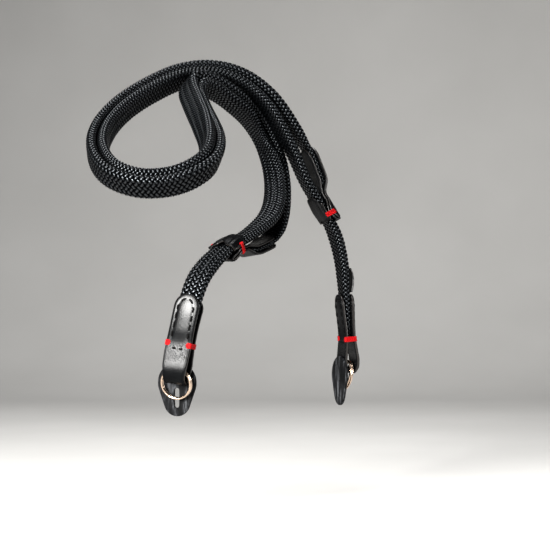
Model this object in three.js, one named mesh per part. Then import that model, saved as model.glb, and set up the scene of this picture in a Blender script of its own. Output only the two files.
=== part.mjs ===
// A camera strap of two flat braided cords that slide on each other.
// Each cord starts in a folded leather tab on a split ring and ends in a leather slider that
// hugs the other cord. Between the sliders the two cords lie face to face and are curled over once.
// Millimetres, +Z up. The origin is midway between the two camera lugs that hold the strap:
// +X runs from the left lug to the right lug and -Y is the side the strap is seen from.
import * as THREE from "three";
import { mergeVertices } from "three/addons/utils/BufferGeometryUtils.js";

// ---- driving dimensions ----
const LUG_SPACING = 126;
const LUG_TURN = 25;
const GAP = 0.3;

const CORD = { width: 13.5, thickness: 5.2, spacing: 5.9, sections: 118 };
const TAB = { leather: 1.8, tip: 46.8, cordEnd: 21 };
const TAB_WHIPPING_AT = { right: 19.9, left: 20.9 };
const SLIDER = { leather: 1.3, halfWidth: 10, tip: 40, cordEnd: 14 };
const SLIDER_AT = { right: 97, left: 86.5 };
const WING = { from: 6.6, lift: 3, halfLength: 9 };
const BAND = { back: 4.4, frontAtFoot: 4.4, crown: 1 };
const BAND_FRONT_AT_CROWN = { right: 13, left: 7.5 };
const PETAL_RADIUS = 6.4;
const RING = { outerRadius: 8.9, wireRadius: 0.68, centreHeight: 8, lean: 11.5, stand: 3.65 };
const RING_SLIP = { left: -1.5, right: -1.5 };
const PROTECTOR = { thickness: 1.5, topRadius: 11, footRadius: 7.5, footBelowRing: 17.8 };
const SLOT = { width: 2.8, height: 10.5 };
const WHIPPING = { thread: 0.7, length: 3, tabReach: 3, wingReach: 1.4 };
const LABEL = { thickness: 0.9, width: 9.5 };

// The strap's middle line, from the fold of the right tab to the fold of the left tab, with the
// direction in which the strap's near edge points.
const ROUTE = [
  { x: 72.7, y: -2.9, z: 9.1, ex: -0.42, ey: -0.91, ez: 0 },
  { x: 70.9, y: -3.4, z: 29.1, ex: -0.48, ey: -0.88, ez: 0 },
  { x: 69.6, y: -2.5, z: 51, ex: -0.5, ey: -0.87, ez: 0 },
  { x: 69, y: -1, z: 72, ex: -0.45, ey: -0.89, ez: 0.05 },
  { x: 66.5, y: 2, z: 89.5, ex: -0.4, ey: -0.9, ez: 0.1 },
  { x: 62, y: 6.4, z: 103.7, ex: -0.5, ey: -0.8, ez: 0.05 },
  { x: 53.4, y: 13.6, z: 122.6, ex: -0.48, ey: -0.82, ez: 0.11 },
  { x: 46.8, y: 18.2, z: 140, ex: -0.43, ey: -0.82, ez: 0.22 },
  { x: 37.6, y: 22.4, z: 158.4, ex: -0.5, ey: -0.85, ez: 0.3 },
  { x: 28.4, y: 26, z: 170.4, ex: -0.55, ey: -0.75, ez: 0.35 },
  { x: 15.5, y: 32.5, z: 179.8, ex: -0.55, ey: -0.7, ez: 0.45 },
  { x: -1, y: 39.5, z: 183.4, ex: -0.6, ey: -0.6, ez: 0.55 },
  { x: -20.4, y: 45, z: 180.2, ex: -0.6, ey: -0.55, ez: 0.6 },
  { x: -41.6, y: 47, z: 170.8, ex: -0.6, ey: -0.5, ez: 0.68 },
  { x: -64.4, y: 45, z: 157.8, ex: -0.6, ey: -0.5, ez: 0.72 },
  { x: -84, y: 37, z: 143.8, ex: -0.55, ey: -0.45, ez: 0.75 },
  { x: -99, y: 23, z: 130, ex: -0.5, ey: -0.5, ez: 0.7 },
  { x: -105.8, y: 4.8, z: 118, ex: -0.45, ey: -0.5, ez: 0.7 },
  { x: -102, y: -12, z: 111.6, ex: -0.45, ey: -0.5, ez: 0.7 },
  { x: -92, y: -23.5, z: 111.5, ex: -0.5, ey: -0.5, ez: 0.7 },
  { x: -81, y: -30.4, z: 115.8, ex: -0.45, ey: -0.55, ez: 0.7 },
  { x: -67.8, y: -29.8, z: 124, ex: -0.3, ey: -0.65, ez: 0.65 },
  { x: -56.4, y: -19.6, z: 134.4, ex: -0.1, ey: -0.75, ez: 0.65 },
  { x: -46.2, y: -3.4, z: 146, ex: 0.2, ey: -0.75, ez: 0.6 },
  { x: -35.6, y: 14.6, z: 157.6, ex: 0.35, ey: -0.75, ez: 0.6 },
  { x: -26.2, y: 29.8, z: 169, ex: 0.25, ey: -0.8, ez: 0.55 },
  { x: -19, y: 33, z: 175, ex: -0.1, ey: -0.8, ez: 0.6 },
  { x: -7.6, y: 32.6, z: 174.2, ex: -0.5, ey: -0.7, ez: 0.5 },
  { x: 6.6, y: 32, z: 168.6, ex: -0.55, ey: -0.7, ez: 0.45 },
  { x: 24.6, y: 34.8, z: 160.2, ex: -0.45, ey: -0.8, ez: 0.4 },
  { x: 36, y: 34, z: 147.4, ex: -0.3, ey: -0.9, ez: 0.3 },
  { x: 36.6, y: 26.4, z: 130.4, ex: 0.1, ey: -0.95, ez: 0.2 },
  { x: 28.4, y: 16.6, z: 112.4, ex: 0.35, ey: -0.9, ez: 0.1 },
  { x: 13.2, y: 6.8, z: 97.6, ex: 0.3, ey: -0.94, ez: -0.05 },
  { x: -8.4, y: 0.4, z: 86, ex: 0.3, ey: -0.93, ez: 0.17 },
  { x: -28.4, y: -3, z: 78.2, ex: 0.32, ey: -0.94, ez: 0.07 },
  { x: -46.5, y: -6.5, z: 68, ex: 0.35, ey: -0.93, ez: -0.08 },
  { x: -57.8, y: -7.9, z: 55, ex: 0.45, ey: -0.89, ez: -0.03 },
  { x: -63.6, y: -4.9, z: 28.8, ex: 0.42, ey: -0.91, ez: 0 },
  { x: -65.8, y: -3, z: 7.4, ex: 0.42, ey: -0.91, ez: 0 },
];

// The cord inside the tab: distance from the tab's fold, half width and half thickness.
const CORD_IN_TAB = [
  { at: 21, halfWidth: 5.2, halfThickness: 1.0 },
  { at: 34, halfWidth: 6.1, halfThickness: 1.65 },
  { at: 46, halfWidth: 6.4, halfThickness: 2.1 },
  { at: 58, halfWidth: 6.75, halfThickness: 2.6 },
];

// The cord where it ends in the slider: distance past the slider's middle, half width, half
// thickness, and how far it moves outward to leave room for the leather between the cords.
const CORD_IN_SLIDER = [
  { at: 14, halfWidth: 4.2, halfThickness: 0.55, shift: -0.78 },
  { at: 17.5, halfWidth: 5, halfThickness: 1.15, shift: -0.15 },
  { at: 30, halfWidth: 5.7, halfThickness: 1.3, shift: -0.15 },
  { at: 40, halfWidth: 6.2, halfThickness: 1.4, shift: -0.1 },
  { at: 50, halfWidth: 6.6, halfThickness: 2.3, shift: 0.1 },
  { at: 62, halfWidth: 6.75, halfThickness: 2.6, shift: 0 },
];

// Side view of the tab: distance from the fold, and how far each wall's middle is from the cord's.
const TAB_SIDE = [
  { at: 46.4, off: 3.3 },
  { at: 40, off: 3.3 },
  { at: 30, off: 2.75 },
  { at: 20.5, off: 2.3 },
  { at: 14, off: 3.1 },
  { at: 8, off: 3.85 },
  { at: 3.5, off: 3.2 },
];
const TAB_WIDTH = [
  { at: 4, half: 6.1 },
  { at: 10, half: 6.9 },
  { at: 16, half: 7.2 },
  { at: 22, half: 7.2 },
  { at: 30, half: 7 },
];

// Side view of the slider's folded strip: distance past its middle, and the height of the outer
// layer's middle above the strap's middle line. The inner layer stays flat between the cords.
const SLIDER_INNER = 0.6;
const SLIDER_OUTER = [
  { at: -5.6, out: 2.3 },
  { at: -4.4, out: 2.4 },
  { at: 5, out: 2.2 },
  { at: 10, out: 2.15 },
  { at: 13, out: 3.3 },
  { at: 16.5, out: 5 },
  { at: 20, out: 5.1 },
  { at: 30, out: 5.1 },
  { at: 39.9, out: 5.4 },
];

// How far the ending cord, with the leather on it, stands off the passing cord: the petals are too
// stiff to follow the passing cord's bend, and the cord comes back to it further on.
const SPLAY = [
  { at: 9, right: 0, left: 0 },
  { at: 13, right: 0.5, left: 0.6 },
  { at: 16.5, right: 1.9, left: 2.1 },
  { at: 20, right: 3, left: 3.3 },
  { at: 30, right: 3.5, left: 4.6 },
  { at: 40, right: 3.1, left: 5.4 },
  { at: 50, right: 2, left: 4.6 },
  { at: 60, right: 1, left: 3 },
  { at: 72, right: 0.3, left: 1.2 },
  { at: 86, right: 0, left: 0 },
];
const SLIDER_WIDTH = [
  { at: -6.3, half: 7.4 },
  { at: -5, half: 8.8 },
  { at: -3, half: 9.7 },
  { at: 0, half: 10 },
  { at: 4, half: 9.4 },
  { at: 8, half: 7.4 },
  { at: 12, half: 5.6 },
  { at: 18, half: 5.9 },
  { at: 26, half: 6.4 },
];

// Side view of the label: distance from the tab's fold and height above the cord's face.
const LABEL_SIDE = [
  { at: 47.6, out: 0.5 },
  { at: 50, out: 1.1 },
  { at: 54.5, out: 1.8 },
  { at: 58.5, out: 1.4 },
  { at: 61.6, out: 0.5 },
];

// ---- materials ----
const braid = new THREE.MeshStandardMaterial({ color: 0x1b1e24, roughness: 0.55, metalness: 0 });
const leather = new THREE.MeshStandardMaterial({ color: 0x121315, roughness: 0.35, metalness: 0 });
const matteLeather = new THREE.MeshStandardMaterial({ color: 0x2b2c2e, roughness: 0.8, metalness: 0 });
const ringMetal = new THREE.MeshStandardMaterial({ color: 0xc9b29b, roughness: 0.25, metalness: 1 });
const redThread = new THREE.MeshStandardMaterial({ color: 0xd31a22, roughness: 0.6, metalness: 0 });

// ---- small helpers ----
const radians = THREE.MathUtils.degToRad;

// The value of one column of a table at a place, on a straight line between its rows.
function column(table, key, at) {
  const rows = [...table].sort((a, b) => a.at - b.at);
  if (at <= rows[0].at) return rows[0][key];
  for (let i = 1; i < rows.length; i += 1) {
    if (at <= rows[i].at) {
      const part = (at - rows[i - 1].at) / (rows[i].at - rows[i - 1].at);
      return THREE.MathUtils.lerp(rows[i - 1][key], rows[i][key], part);
    }
  }
  return rows[rows.length - 1][key];
}

function splay(end, past) {
  return column(SPLAY, end, past);
}

// ---- the strap's own coordinates ----
function smoothLine(points) {
  const line = new THREE.CatmullRomCurve3(points, false, "catmullrom", 0.5);
  line.arcLengthDivisions = 3000;
  return line;
}
const routeLine = smoothLine(ROUTE.map((row) => new THREE.Vector3(row.x, row.y, row.z)));
const edgeLine = smoothLine(ROUTE.map((row) => new THREE.Vector3(row.ex, row.ey, row.ez)));
const ROUTE_LENGTH = routeLine.getLength();

// The strap's place and directions at a distance from the right tab's fold: along the strap,
// across it to its near edge, and out of its outer face.
function strapFrame(distance) {
  const t = routeLine.getUtoTmapping(0, THREE.MathUtils.clamp(distance, 0, ROUTE_LENGTH));
  const along = routeLine.getTangent(t);
  const across = edgeLine.getPoint(t);
  across.addScaledVector(along, -across.dot(along)).normalize();
  const out = along.clone().cross(across);
  return { point: routeLine.getPoint(t), along, across, out };
}

// A point given from one end of the strap: distance along, across, and out from the middle line.
// The two ends are the same seen from the strap, so a left end is a right end turned over.
function place(end, distance, across, out) {
  const onRight = end === "right";
  const frame = strapFrame(onRight ? distance : ROUTE_LENGTH - distance);
  return frame.point
    .addScaledVector(frame.across, across)
    .addScaledVector(frame.out, onRight ? out : -out);
}

// Bends a flat piece onto the strap: its x is across, its y is out and its z is along.
function bend(flat, end, reshape = (x, y, z) => [x, y, z]) {
  flat.deleteAttribute("normal");
  flat.deleteAttribute("uv");
  const geometry = mergeVertices(flat, 1e-4);
  const position = geometry.attributes.position;
  for (let i = 0; i < position.count; i += 1) {
    const [x, y, z] = reshape(position.getX(i), position.getY(i), position.getZ(i));
    const point = place(end, z, x, y);
    position.setXYZ(i, point.x, point.y, point.z);
  }
  geometry.computeVertexNormals();
  return geometry;
}

// ---- the braided cords ----
function isInSlider(distance) {
  const pasts = [distance - SLIDER_AT.right, ROUTE_LENGTH - distance - SLIDER_AT.left];
  return pasts.some((past) => past > -14 && past < SLIDER.tip + 4);
}

// Distances for the cords' sections, the same for both so that their faces stay parallel: closer
// together in the sliders and where the strap bends or twists more.
function sectionDistances(count) {
  const samples = 1400;
  const step = ROUTE_LENGTH / samples;
  const effort = [0];
  let before = strapFrame(0);
  for (let i = 1; i <= samples; i += 1) {
    const here = strapFrame(i * step);
    const turn = before.along.angleTo(here.along) + before.across.angleTo(here.across);
    const spacing = isInSlider(i * step) ? 4.5 : 12;
    effort.push(effort[i - 1] + step / spacing + 2 * turn);
    before = here;
  }
  const distances = [];
  for (let k = 0, i = 0; k <= count; k += 1) {
    const wanted = (effort[samples] * k) / count;
    while (i < samples - 1 && effort[i + 1] < wanted) i += 1;
    distances.push(step * (i + (wanted - effort[i]) / (effort[i + 1] - effort[i])));
  }
  return distances;
}
const SECTIONS = sectionDistances(CORD.sections);

function cordSection() {
  const edge = CORD.thickness / 2;
  const middle = CORD.width / 2 - edge;
  const outline = new THREE.Shape();
  outline.absarc(middle, 0, edge, -Math.PI / 2, Math.PI / 2, false);
  outline.absarc(-middle, 0, edge, Math.PI / 2, (3 * Math.PI) / 2, false);
  return outline;
}

// One cord, from inside its own end's tab to inside the other end's slider.
function cord(end) {
  const other = end === "right" ? "left" : "right";
  const last = ROUTE_LENGTH - SLIDER_AT[other] - SLIDER.cordEnd;
  const fromRight = (distance) => (end === "right" ? distance : ROUTE_LENGTH - distance);
  const between = SECTIONS.map(fromRight).filter((at) => at > TAB.cordEnd + 2 && at < last - 2);
  const distances = [TAB.cordEnd, ...between, last].sort((a, b) => a - b);
  const flat = new THREE.ExtrudeGeometry(cordSection(), {
    depth: distances.length - 1,
    steps: distances.length - 1,
    curveSegments: 2,
    bevelEnabled: false,
  });
  return bend(flat, end, (x, y, z) => {
    const distance = distances[Math.round(z)];
    const past = ROUTE_LENGTH - distance - SLIDER_AT[other];
    const inTab = (key) => column(CORD_IN_TAB, key, distance);
    const inSlider = (key) => column(CORD_IN_SLIDER, key, past);
    const halfWidth = Math.min(inTab("halfWidth"), inSlider("halfWidth"));
    const halfThickness = Math.min(inTab("halfThickness"), inSlider("halfThickness"));
    const middle = -CORD.spacing / 2 - inSlider("shift") - splay(other, past);
    const across = (x * halfWidth) / (CORD.width / 2);
    return [across, middle + (y * halfThickness) / (CORD.thickness / 2), distance];
  });
}

// ---- folded leather strips ----
const noLift = () => 0;

// A strip of one thickness that follows a side view, with its width given along the strap. Its
// wings, the parts outside WING.from, can be lifted.
function strip(end, side, thickness, halfWidthAt, liftAt, tipLengths, step) {
  const line = new THREE.CatmullRomCurve3(side, false, "centripetal");
  line.arcLengthDivisions = 800;
  const length = line.getLength();
  const inner = [];
  for (let at = tipLengths[tipLengths.length - 1] + step; at < length / 2; at += step) inner.push(at);
  const firstHalf = [...tipLengths, ...inner];
  const places = [...firstHalf, ...firstHalf.map((at) => length - at).reverse()];
  const rings = places.map((at) => {
    const u = THREE.MathUtils.clamp(at / length, 0, 1);
    const middle = line.getPointAt(u);
    const heading = line.getTangentAt(u);
    const normal = new THREE.Vector3(-heading.y, heading.x, 0).multiplyScalar(thickness / 2);
    const half = halfWidthAt(middle.x);
    const body = Math.min(half - 0.5, WING.from);
    const wing = liftAt(middle.x) * Math.max(0, (half - WING.from) / (SLIDER.halfWidth - WING.from));
    const low = middle.clone().sub(normal);
    const high = middle.clone().add(normal);
    const across = liftAt === noLift ? [[half, 0]] : [[half, wing], [body, 0]];
    const outerFirst = [...across, ...across.map(([width, lift]) => [-width, lift]).reverse()];
    const lowFace = outerFirst.map(([width, lift]) => place(end, low.x, -width, low.y - lift));
    const highFace = outerFirst.map(([width, lift]) => place(end, high.x, width, high.y - lift));
    return [...lowFace, ...highFace];
  });
  return skin(rings);
}
// A closed skin through rings of the same number of points.
function skin(rings) {
  const sides = rings[0].length;
  const points = rings.flat().flatMap((point) => [point.x, point.y, point.z]);
  const faces = [];
  for (let r = 0; r + 1 < rings.length; r += 1) {
    for (let i = 0; i < sides; i += 1) {
      const a = r * sides + i;
      const b = r * sides + ((i + 1) % sides);
      faces.push(a, b, b + sides, a, b + sides, a + sides);
    }
  }
  // Each end is closed with strips between its two faces.
  const end = (rings.length - 1) * sides;
  for (let i = 0; i + 1 < sides / 2; i += 1) {
    const [a, b, c, d] = [i, i + 1, sides - 2 - i, sides - 1 - i];
    faces.push(a, c, b, a, d, c, end + a, end + b, end + c, end + a, end + c, end + d);
  }
  const geometry = new THREE.BufferGeometry();
  geometry.setAttribute("position", new THREE.Float32BufferAttribute(points, 3));
  geometry.setIndex(faces);
  geometry.computeVertexNormals();
  return geometry;
}

// The half width of a petal near its round tip.
function petalHalfWidth(tip, at, half) {
  const past = at - (tip - PETAL_RADIUS);
  if (past <= 0) return half;
  return Math.min(half, Math.sqrt(Math.max(PETAL_RADIUS ** 2 - past ** 2, 0.8 ** 2)));
}
const TIP_LENGTHS = [0, 0.35, 1, 2.2, 4, 6.4];

function endTab(end) {
  const middle = -CORD.spacing / 2;
  const under = TAB_SIDE.map((row) => new THREE.Vector3(row.at, middle - row.off, 0));
  const over = TAB_SIDE.map((row) => new THREE.Vector3(row.at, middle + row.off, 0)).reverse();
  const fold = new THREE.Vector3(TAB.leather / 2, middle, 0);
  const halfWidth = (at) => petalHalfWidth(TAB.tip, at, column(TAB_WIDTH, "half", at));
  const side = [...under, fold, ...over];
  return strip(end, side, TAB.leather, halfWidth, noLift, TIP_LENGTHS, 2.4);
}

function sliderStrip(end) {
  const at = SLIDER_AT[end];
  const lift = (past) => splay(end, past);
  const inner = [SLIDER.tip - 0.1, 30, 24, 20, 17, 14, 11, 4, -2, -4.4, -5.6];
  const under = inner.map((past) => new THREE.Vector3(at + past, SLIDER_INNER + lift(past), 0));
  const outer = SLIDER_OUTER.map((row) => ({ past: row.at, out: row.out + lift(row.at) }));
  const over = outer.map((row) => new THREE.Vector3(at + row.past, row.out, 0));
  const fold = new THREE.Vector3(at - 6.3, (SLIDER_INNER + SLIDER_OUTER[0].out) / 2, 0);
  const halfWidth = (distance) => {
    const past = distance - at;
    return petalHalfWidth(SLIDER.tip, past, column(SLIDER_WIDTH, "half", past));
  };
  const wingLift = (distance) => {
    const part = (distance - at) / WING.halfLength;
    return WING.lift * Math.max(0, 1 - part ** 2);
  };
  const side = [...under, fold, ...over];
  return strip(end, side, SLIDER.leather, halfWidth, wingLift, TIP_LENGTHS, 2.2);
}

// The label: a thin bowed strip that springs away from the cord between its two ends.
function label() {
  const side = LABEL_SIDE.map(
    (row) => new THREE.Vector3(row.at, -CORD.spacing / 2 + CORD.thickness / 2 + GAP + row.out, 0),
  );
  const halfWidth = () => LABEL.width / 2;
  return strip("right", side, LABEL.thickness, halfWidth, noLift, [0, 1.2], 1.6);
}

// ---- the band that keeps the passing cord in the slider ----
// Its feet lie on the lifted wings, and its crown reaches further along the cord than its feet.
const WING_SEAT = SLIDER_INNER - SLIDER.leather / 2 - GAP - WING.lift;

function sliderBand(end) {
  const middle = -CORD.spacing / 2;
  const edge = CORD.thickness / 2;
  const shoulder = CORD.width / 2 - edge;
  const innerRadius = edge + GAP;
  const outerRadius = innerRadius + SLIDER.leather;
  const foot = SLIDER.halfWidth;
  const footTop = WING_SEAT - SLIDER.leather;
  const rim = Math.asin((middle - footTop) / outerRadius);
  const heel = [shoulder + innerRadius + 0.2, middle + 1.7];
  const top = middle - outerRadius - BAND.crown;
  const outline = new THREE.Shape();
  outline.moveTo(heel[0], heel[1]);
  outline.lineTo(foot, WING_SEAT);
  outline.lineTo(foot, footTop);
  outline.absarc(shoulder, middle, outerRadius, -rim, -Math.PI / 2, true);
  outline.lineTo(0, top);
  outline.absarc(-shoulder, middle, outerRadius, -Math.PI / 2, rim - Math.PI, true);
  outline.lineTo(-foot, footTop);
  outline.lineTo(-foot, WING_SEAT);
  outline.lineTo(-heel[0], heel[1]);
  outline.absarc(-shoulder, middle, innerRadius, -Math.PI, -Math.PI / 2, false);
  outline.lineTo(0, top + SLIDER.leather);
  outline.absarc(shoulder, middle, innerRadius, -Math.PI / 2, 0, false);
  const flat = new THREE.ExtrudeGeometry(outline, {
    depth: 1,
    steps: 6,
    curveSegments: 2,
    bevelEnabled: false,
  });
  return bend(flat, end, (x, y, z) => {
    const below = THREE.MathUtils.clamp((top - y) / (top - WING_SEAT), 0, 1);
    const front = THREE.MathUtils.lerp(BAND_FRONT_AT_CROWN[end], BAND.frontAtFoot, below ** 2);
    return [x, y, SLIDER_AT[end] + THREE.MathUtils.lerp(-BAND.back, front, z)];
  });
}

// ---- thread whippings ----
// Thread wound round one side edge of a stack of leather: a C that opens towards the middle. Its
// high leg climbs with the leather it lies on.
function whipping(end, nearSide, at, edge, low, high, reach, climb) {
  const side = nearSide ? 1 : -1;
  const thread = WHIPPING.thread;
  const corners = [
    [edge - reach, low - GAP],
    [edge + GAP, low - GAP],
    [edge + GAP, high + GAP],
    [edge - reach, high + GAP + climb],
    [edge - reach, high + GAP + climb + thread],
    [edge + GAP + thread / 2, high + GAP + thread],
    [edge + GAP + thread, high + GAP + thread / 2],
    [edge + GAP + thread, low - GAP - thread / 2],
    [edge + GAP + thread / 2, low - GAP - thread],
    [edge - reach, low - GAP - thread],
  ];
  const outline = new THREE.Shape(corners.map(([x, y]) => new THREE.Vector2(side * x, y)));
  const flat = new THREE.ExtrudeGeometry(outline, {
    depth: WHIPPING.length,
    steps: 2,
    bevelEnabled: false,
  });
  return bend(flat, end, (x, y, z) => [x, y, z + at - WHIPPING.length / 2]);
}

function tabWhipping(end, nearSide) {
  const middle = -CORD.spacing / 2;
  const at = TAB_WHIPPING_AT[end];
  const half = column(TAB_SIDE, "off", at) + TAB.leather / 2 + 0.1;
  const edge = column(TAB_WIDTH, "half", at);
  const reach = WHIPPING.tabReach;
  return whipping(end, nearSide, at, edge, middle - half, middle + half, reach, 0);
}

function sliderWhipping(end, nearSide) {
  const low = WING_SEAT - SLIDER.leather;
  const high = SLIDER_OUTER[0].out + SLIDER.leather / 2 - WING.lift + 0.2;
  const edge = SLIDER.halfWidth;
  const climb = (WING.lift * WHIPPING.wingReach) / (edge - WING.from);
  return whipping(end, nearSide, SLIDER_AT[end], edge, low, high, WHIPPING.wingReach, climb);
}

// ---- split rings and ring protectors, in each lug's own directions ----
class CoilLine extends THREE.Curve {
  constructor(radius, pitch, turns) {
    super();
    this.radius = radius;
    this.pitch = pitch;
    this.turns = turns;
  }

  getPoint(t, target = new THREE.Vector3()) {
    const angle = Math.PI * 2 * this.turns * t;
    const rise = this.pitch * this.turns * (t - 0.5);
    return target.set(this.radius * Math.sin(angle), rise, this.radius * Math.cos(angle));
  }
}

function splitRing() {
  const turns = 1.96;
  const pitch = 2 * RING.wireRadius + 0.12;
  const coil = new CoilLine(RING.outerRadius - RING.wireRadius, pitch, turns);
  const section = new THREE.Shape();
  section.absarc(0, 0, RING.wireRadius, 0, Math.PI * 2, false);
  return new THREE.ExtrudeGeometry(section, {
    steps: 48,
    curveSegments: 4,
    bevelEnabled: false,
    extrudePath: coil,
  });
}

// The protector's outline in its own plane, with the ring's middle at the origin.
function ringProtector() {
  const { topRadius, footRadius, footBelowRing, thickness } = PROTECTOR;
  const footMiddle = footRadius - footBelowRing;
  const lean = Math.asin((topRadius - footRadius) / -footMiddle);
  const outline = new THREE.Shape();
  outline.absarc(0, 0, topRadius, -lean, Math.PI + lean, false);
  outline.absarc(0, footMiddle, footRadius, Math.PI + lean, 2 * Math.PI - lean, false);
  const slot = new THREE.Path();
  const slotMiddle = -RING.centreHeight;
  const half = SLOT.width / 2;
  const straight = SLOT.height / 2 - half;
  slot.absarc(0, slotMiddle + straight, half, 0, Math.PI, false);
  slot.absarc(0, slotMiddle - straight, half, Math.PI, 2 * Math.PI, false);
  outline.holes.push(slot);
  return new THREE.ExtrudeGeometry(outline, {
    depth: thickness,
    steps: 1,
    curveSegments: 9,
    bevelEnabled: false,
  });
}

// A group whose +Y points out of the camera's end face at the lug.
function lugGroup(end) {
  const side = end === "right" ? 1 : -1;
  const group = new THREE.Group();
  group.position.set((side * LUG_SPACING) / 2, 0, 0);
  group.rotation.z = radians(side > 0 ? -90 - LUG_TURN : 90 + LUG_TURN);
  return group;
}

// ---- the assembly ----
function piece(parent, name, geometry, material) {
  const mesh = new THREE.Mesh(geometry, material);
  mesh.name = name;
  parent.add(mesh);
  return mesh;
}

const strap = new THREE.Group();
for (const end of ["left", "right"]) {
  piece(strap, `braid_${end}`, cord(end), braid);
  piece(strap, `end_tab_${end}`, endTab(end), leather);
  piece(strap, `slider_strip_${end}`, sliderStrip(end), leather);
  piece(strap, `slider_band_${end}`, sliderBand(end), leather);
  for (const [name, nearSide] of [["near", true], ["far", false]]) {
    piece(strap, `tab_whipping_${end}_${name}`, tabWhipping(end, nearSide), redThread);
    piece(strap, `slider_whipping_${end}_${name}`, sliderWhipping(end, nearSide), redThread);
  }

  const lug = lugGroup(end);
  strap.add(lug);
  const protector = piece(lug, `ring_protector_${end}`, ringProtector(), matteLeather);
  protector.rotation.x = radians(90);
  protector.position.set(0, PROTECTOR.thickness, RING.centreHeight);
  const ring = piece(lug, `split_ring_${end}`, splitRing(), ringMetal);
  const leanDrop = RING.outerRadius - RING.wireRadius;
  ring.rotation.x = radians(-RING.lean);
  ring.position.set(
    RING_SLIP[end],
    RING.stand + leanDrop * Math.sin(radians(RING.lean)),
    RING.centreHeight,
  );
}
piece(strap, "label_patch", label(), leather);

export default strap;
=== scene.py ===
# %% [markdown]
# # A camera strap of two braided cords
#
# The strap is two flat braided cords that lie face to face. Each starts in a folded leather tab on a
# split ring and ends in a leather slider that hugs the other cord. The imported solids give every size
# and place; this script gives the surfaces: the plait, the grained leather, the saddle stitches, the
# red whippings and the polished rings. Lengths are in metres, but the short tables of widths, heights
# and side views are in millimetres.

import math

import bpy
import numpy as np
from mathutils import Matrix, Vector


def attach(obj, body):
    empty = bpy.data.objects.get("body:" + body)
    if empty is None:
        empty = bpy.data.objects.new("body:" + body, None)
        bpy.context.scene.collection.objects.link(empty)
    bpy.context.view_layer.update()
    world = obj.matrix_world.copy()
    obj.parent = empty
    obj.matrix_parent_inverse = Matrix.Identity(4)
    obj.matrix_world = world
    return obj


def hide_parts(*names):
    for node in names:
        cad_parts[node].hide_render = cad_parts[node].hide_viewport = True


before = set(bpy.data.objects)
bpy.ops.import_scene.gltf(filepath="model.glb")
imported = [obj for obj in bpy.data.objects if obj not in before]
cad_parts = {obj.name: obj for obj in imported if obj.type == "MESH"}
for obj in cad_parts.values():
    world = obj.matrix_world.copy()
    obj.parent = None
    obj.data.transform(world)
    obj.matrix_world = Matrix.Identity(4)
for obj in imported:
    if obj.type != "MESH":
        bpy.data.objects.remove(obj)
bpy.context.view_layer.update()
MM = 0.001

# %% [markdown]
# ## The camera
#
# A long lens far from the strap keeps its shape calm, as in a catalogue. It stands between the strap's
# front and its left side, level with the upper part of the tabs, and looks up by one degree. That puts
# the strap a little above the middle of the view, so no lens shift is needed.

# %% The camera
CAMERA_PLACE = (-0.6047, -0.6147, 0.0497)
CAMERA_TURN = 45
CAMERA_TILT = 1.08
LENS = 100.7

camera_data = bpy.data.cameras.new("camera")
camera_data.lens = LENS
camera_data.sensor_width = 36
camera = bpy.data.objects.new("camera", camera_data)
bpy.context.scene.collection.objects.link(camera)
bpy.context.scene.camera = camera
camera.location = CAMERA_PLACE
camera.rotation_euler = (math.radians(90 + CAMERA_TILT), 0, math.radians(-CAMERA_TURN))
print("camera at", CAMERA_PLACE, "with a lens of", LENS, "mm")

# %% [markdown]
# ## The strap's own line
#
# Everything on the strap is placed by three numbers: how far along it, how far across it and how far
# out of its face. The rows below are the same points that the solids follow, with the direction of the
# strap's near edge at each, so a detail made here lands exactly on its solid.

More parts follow.
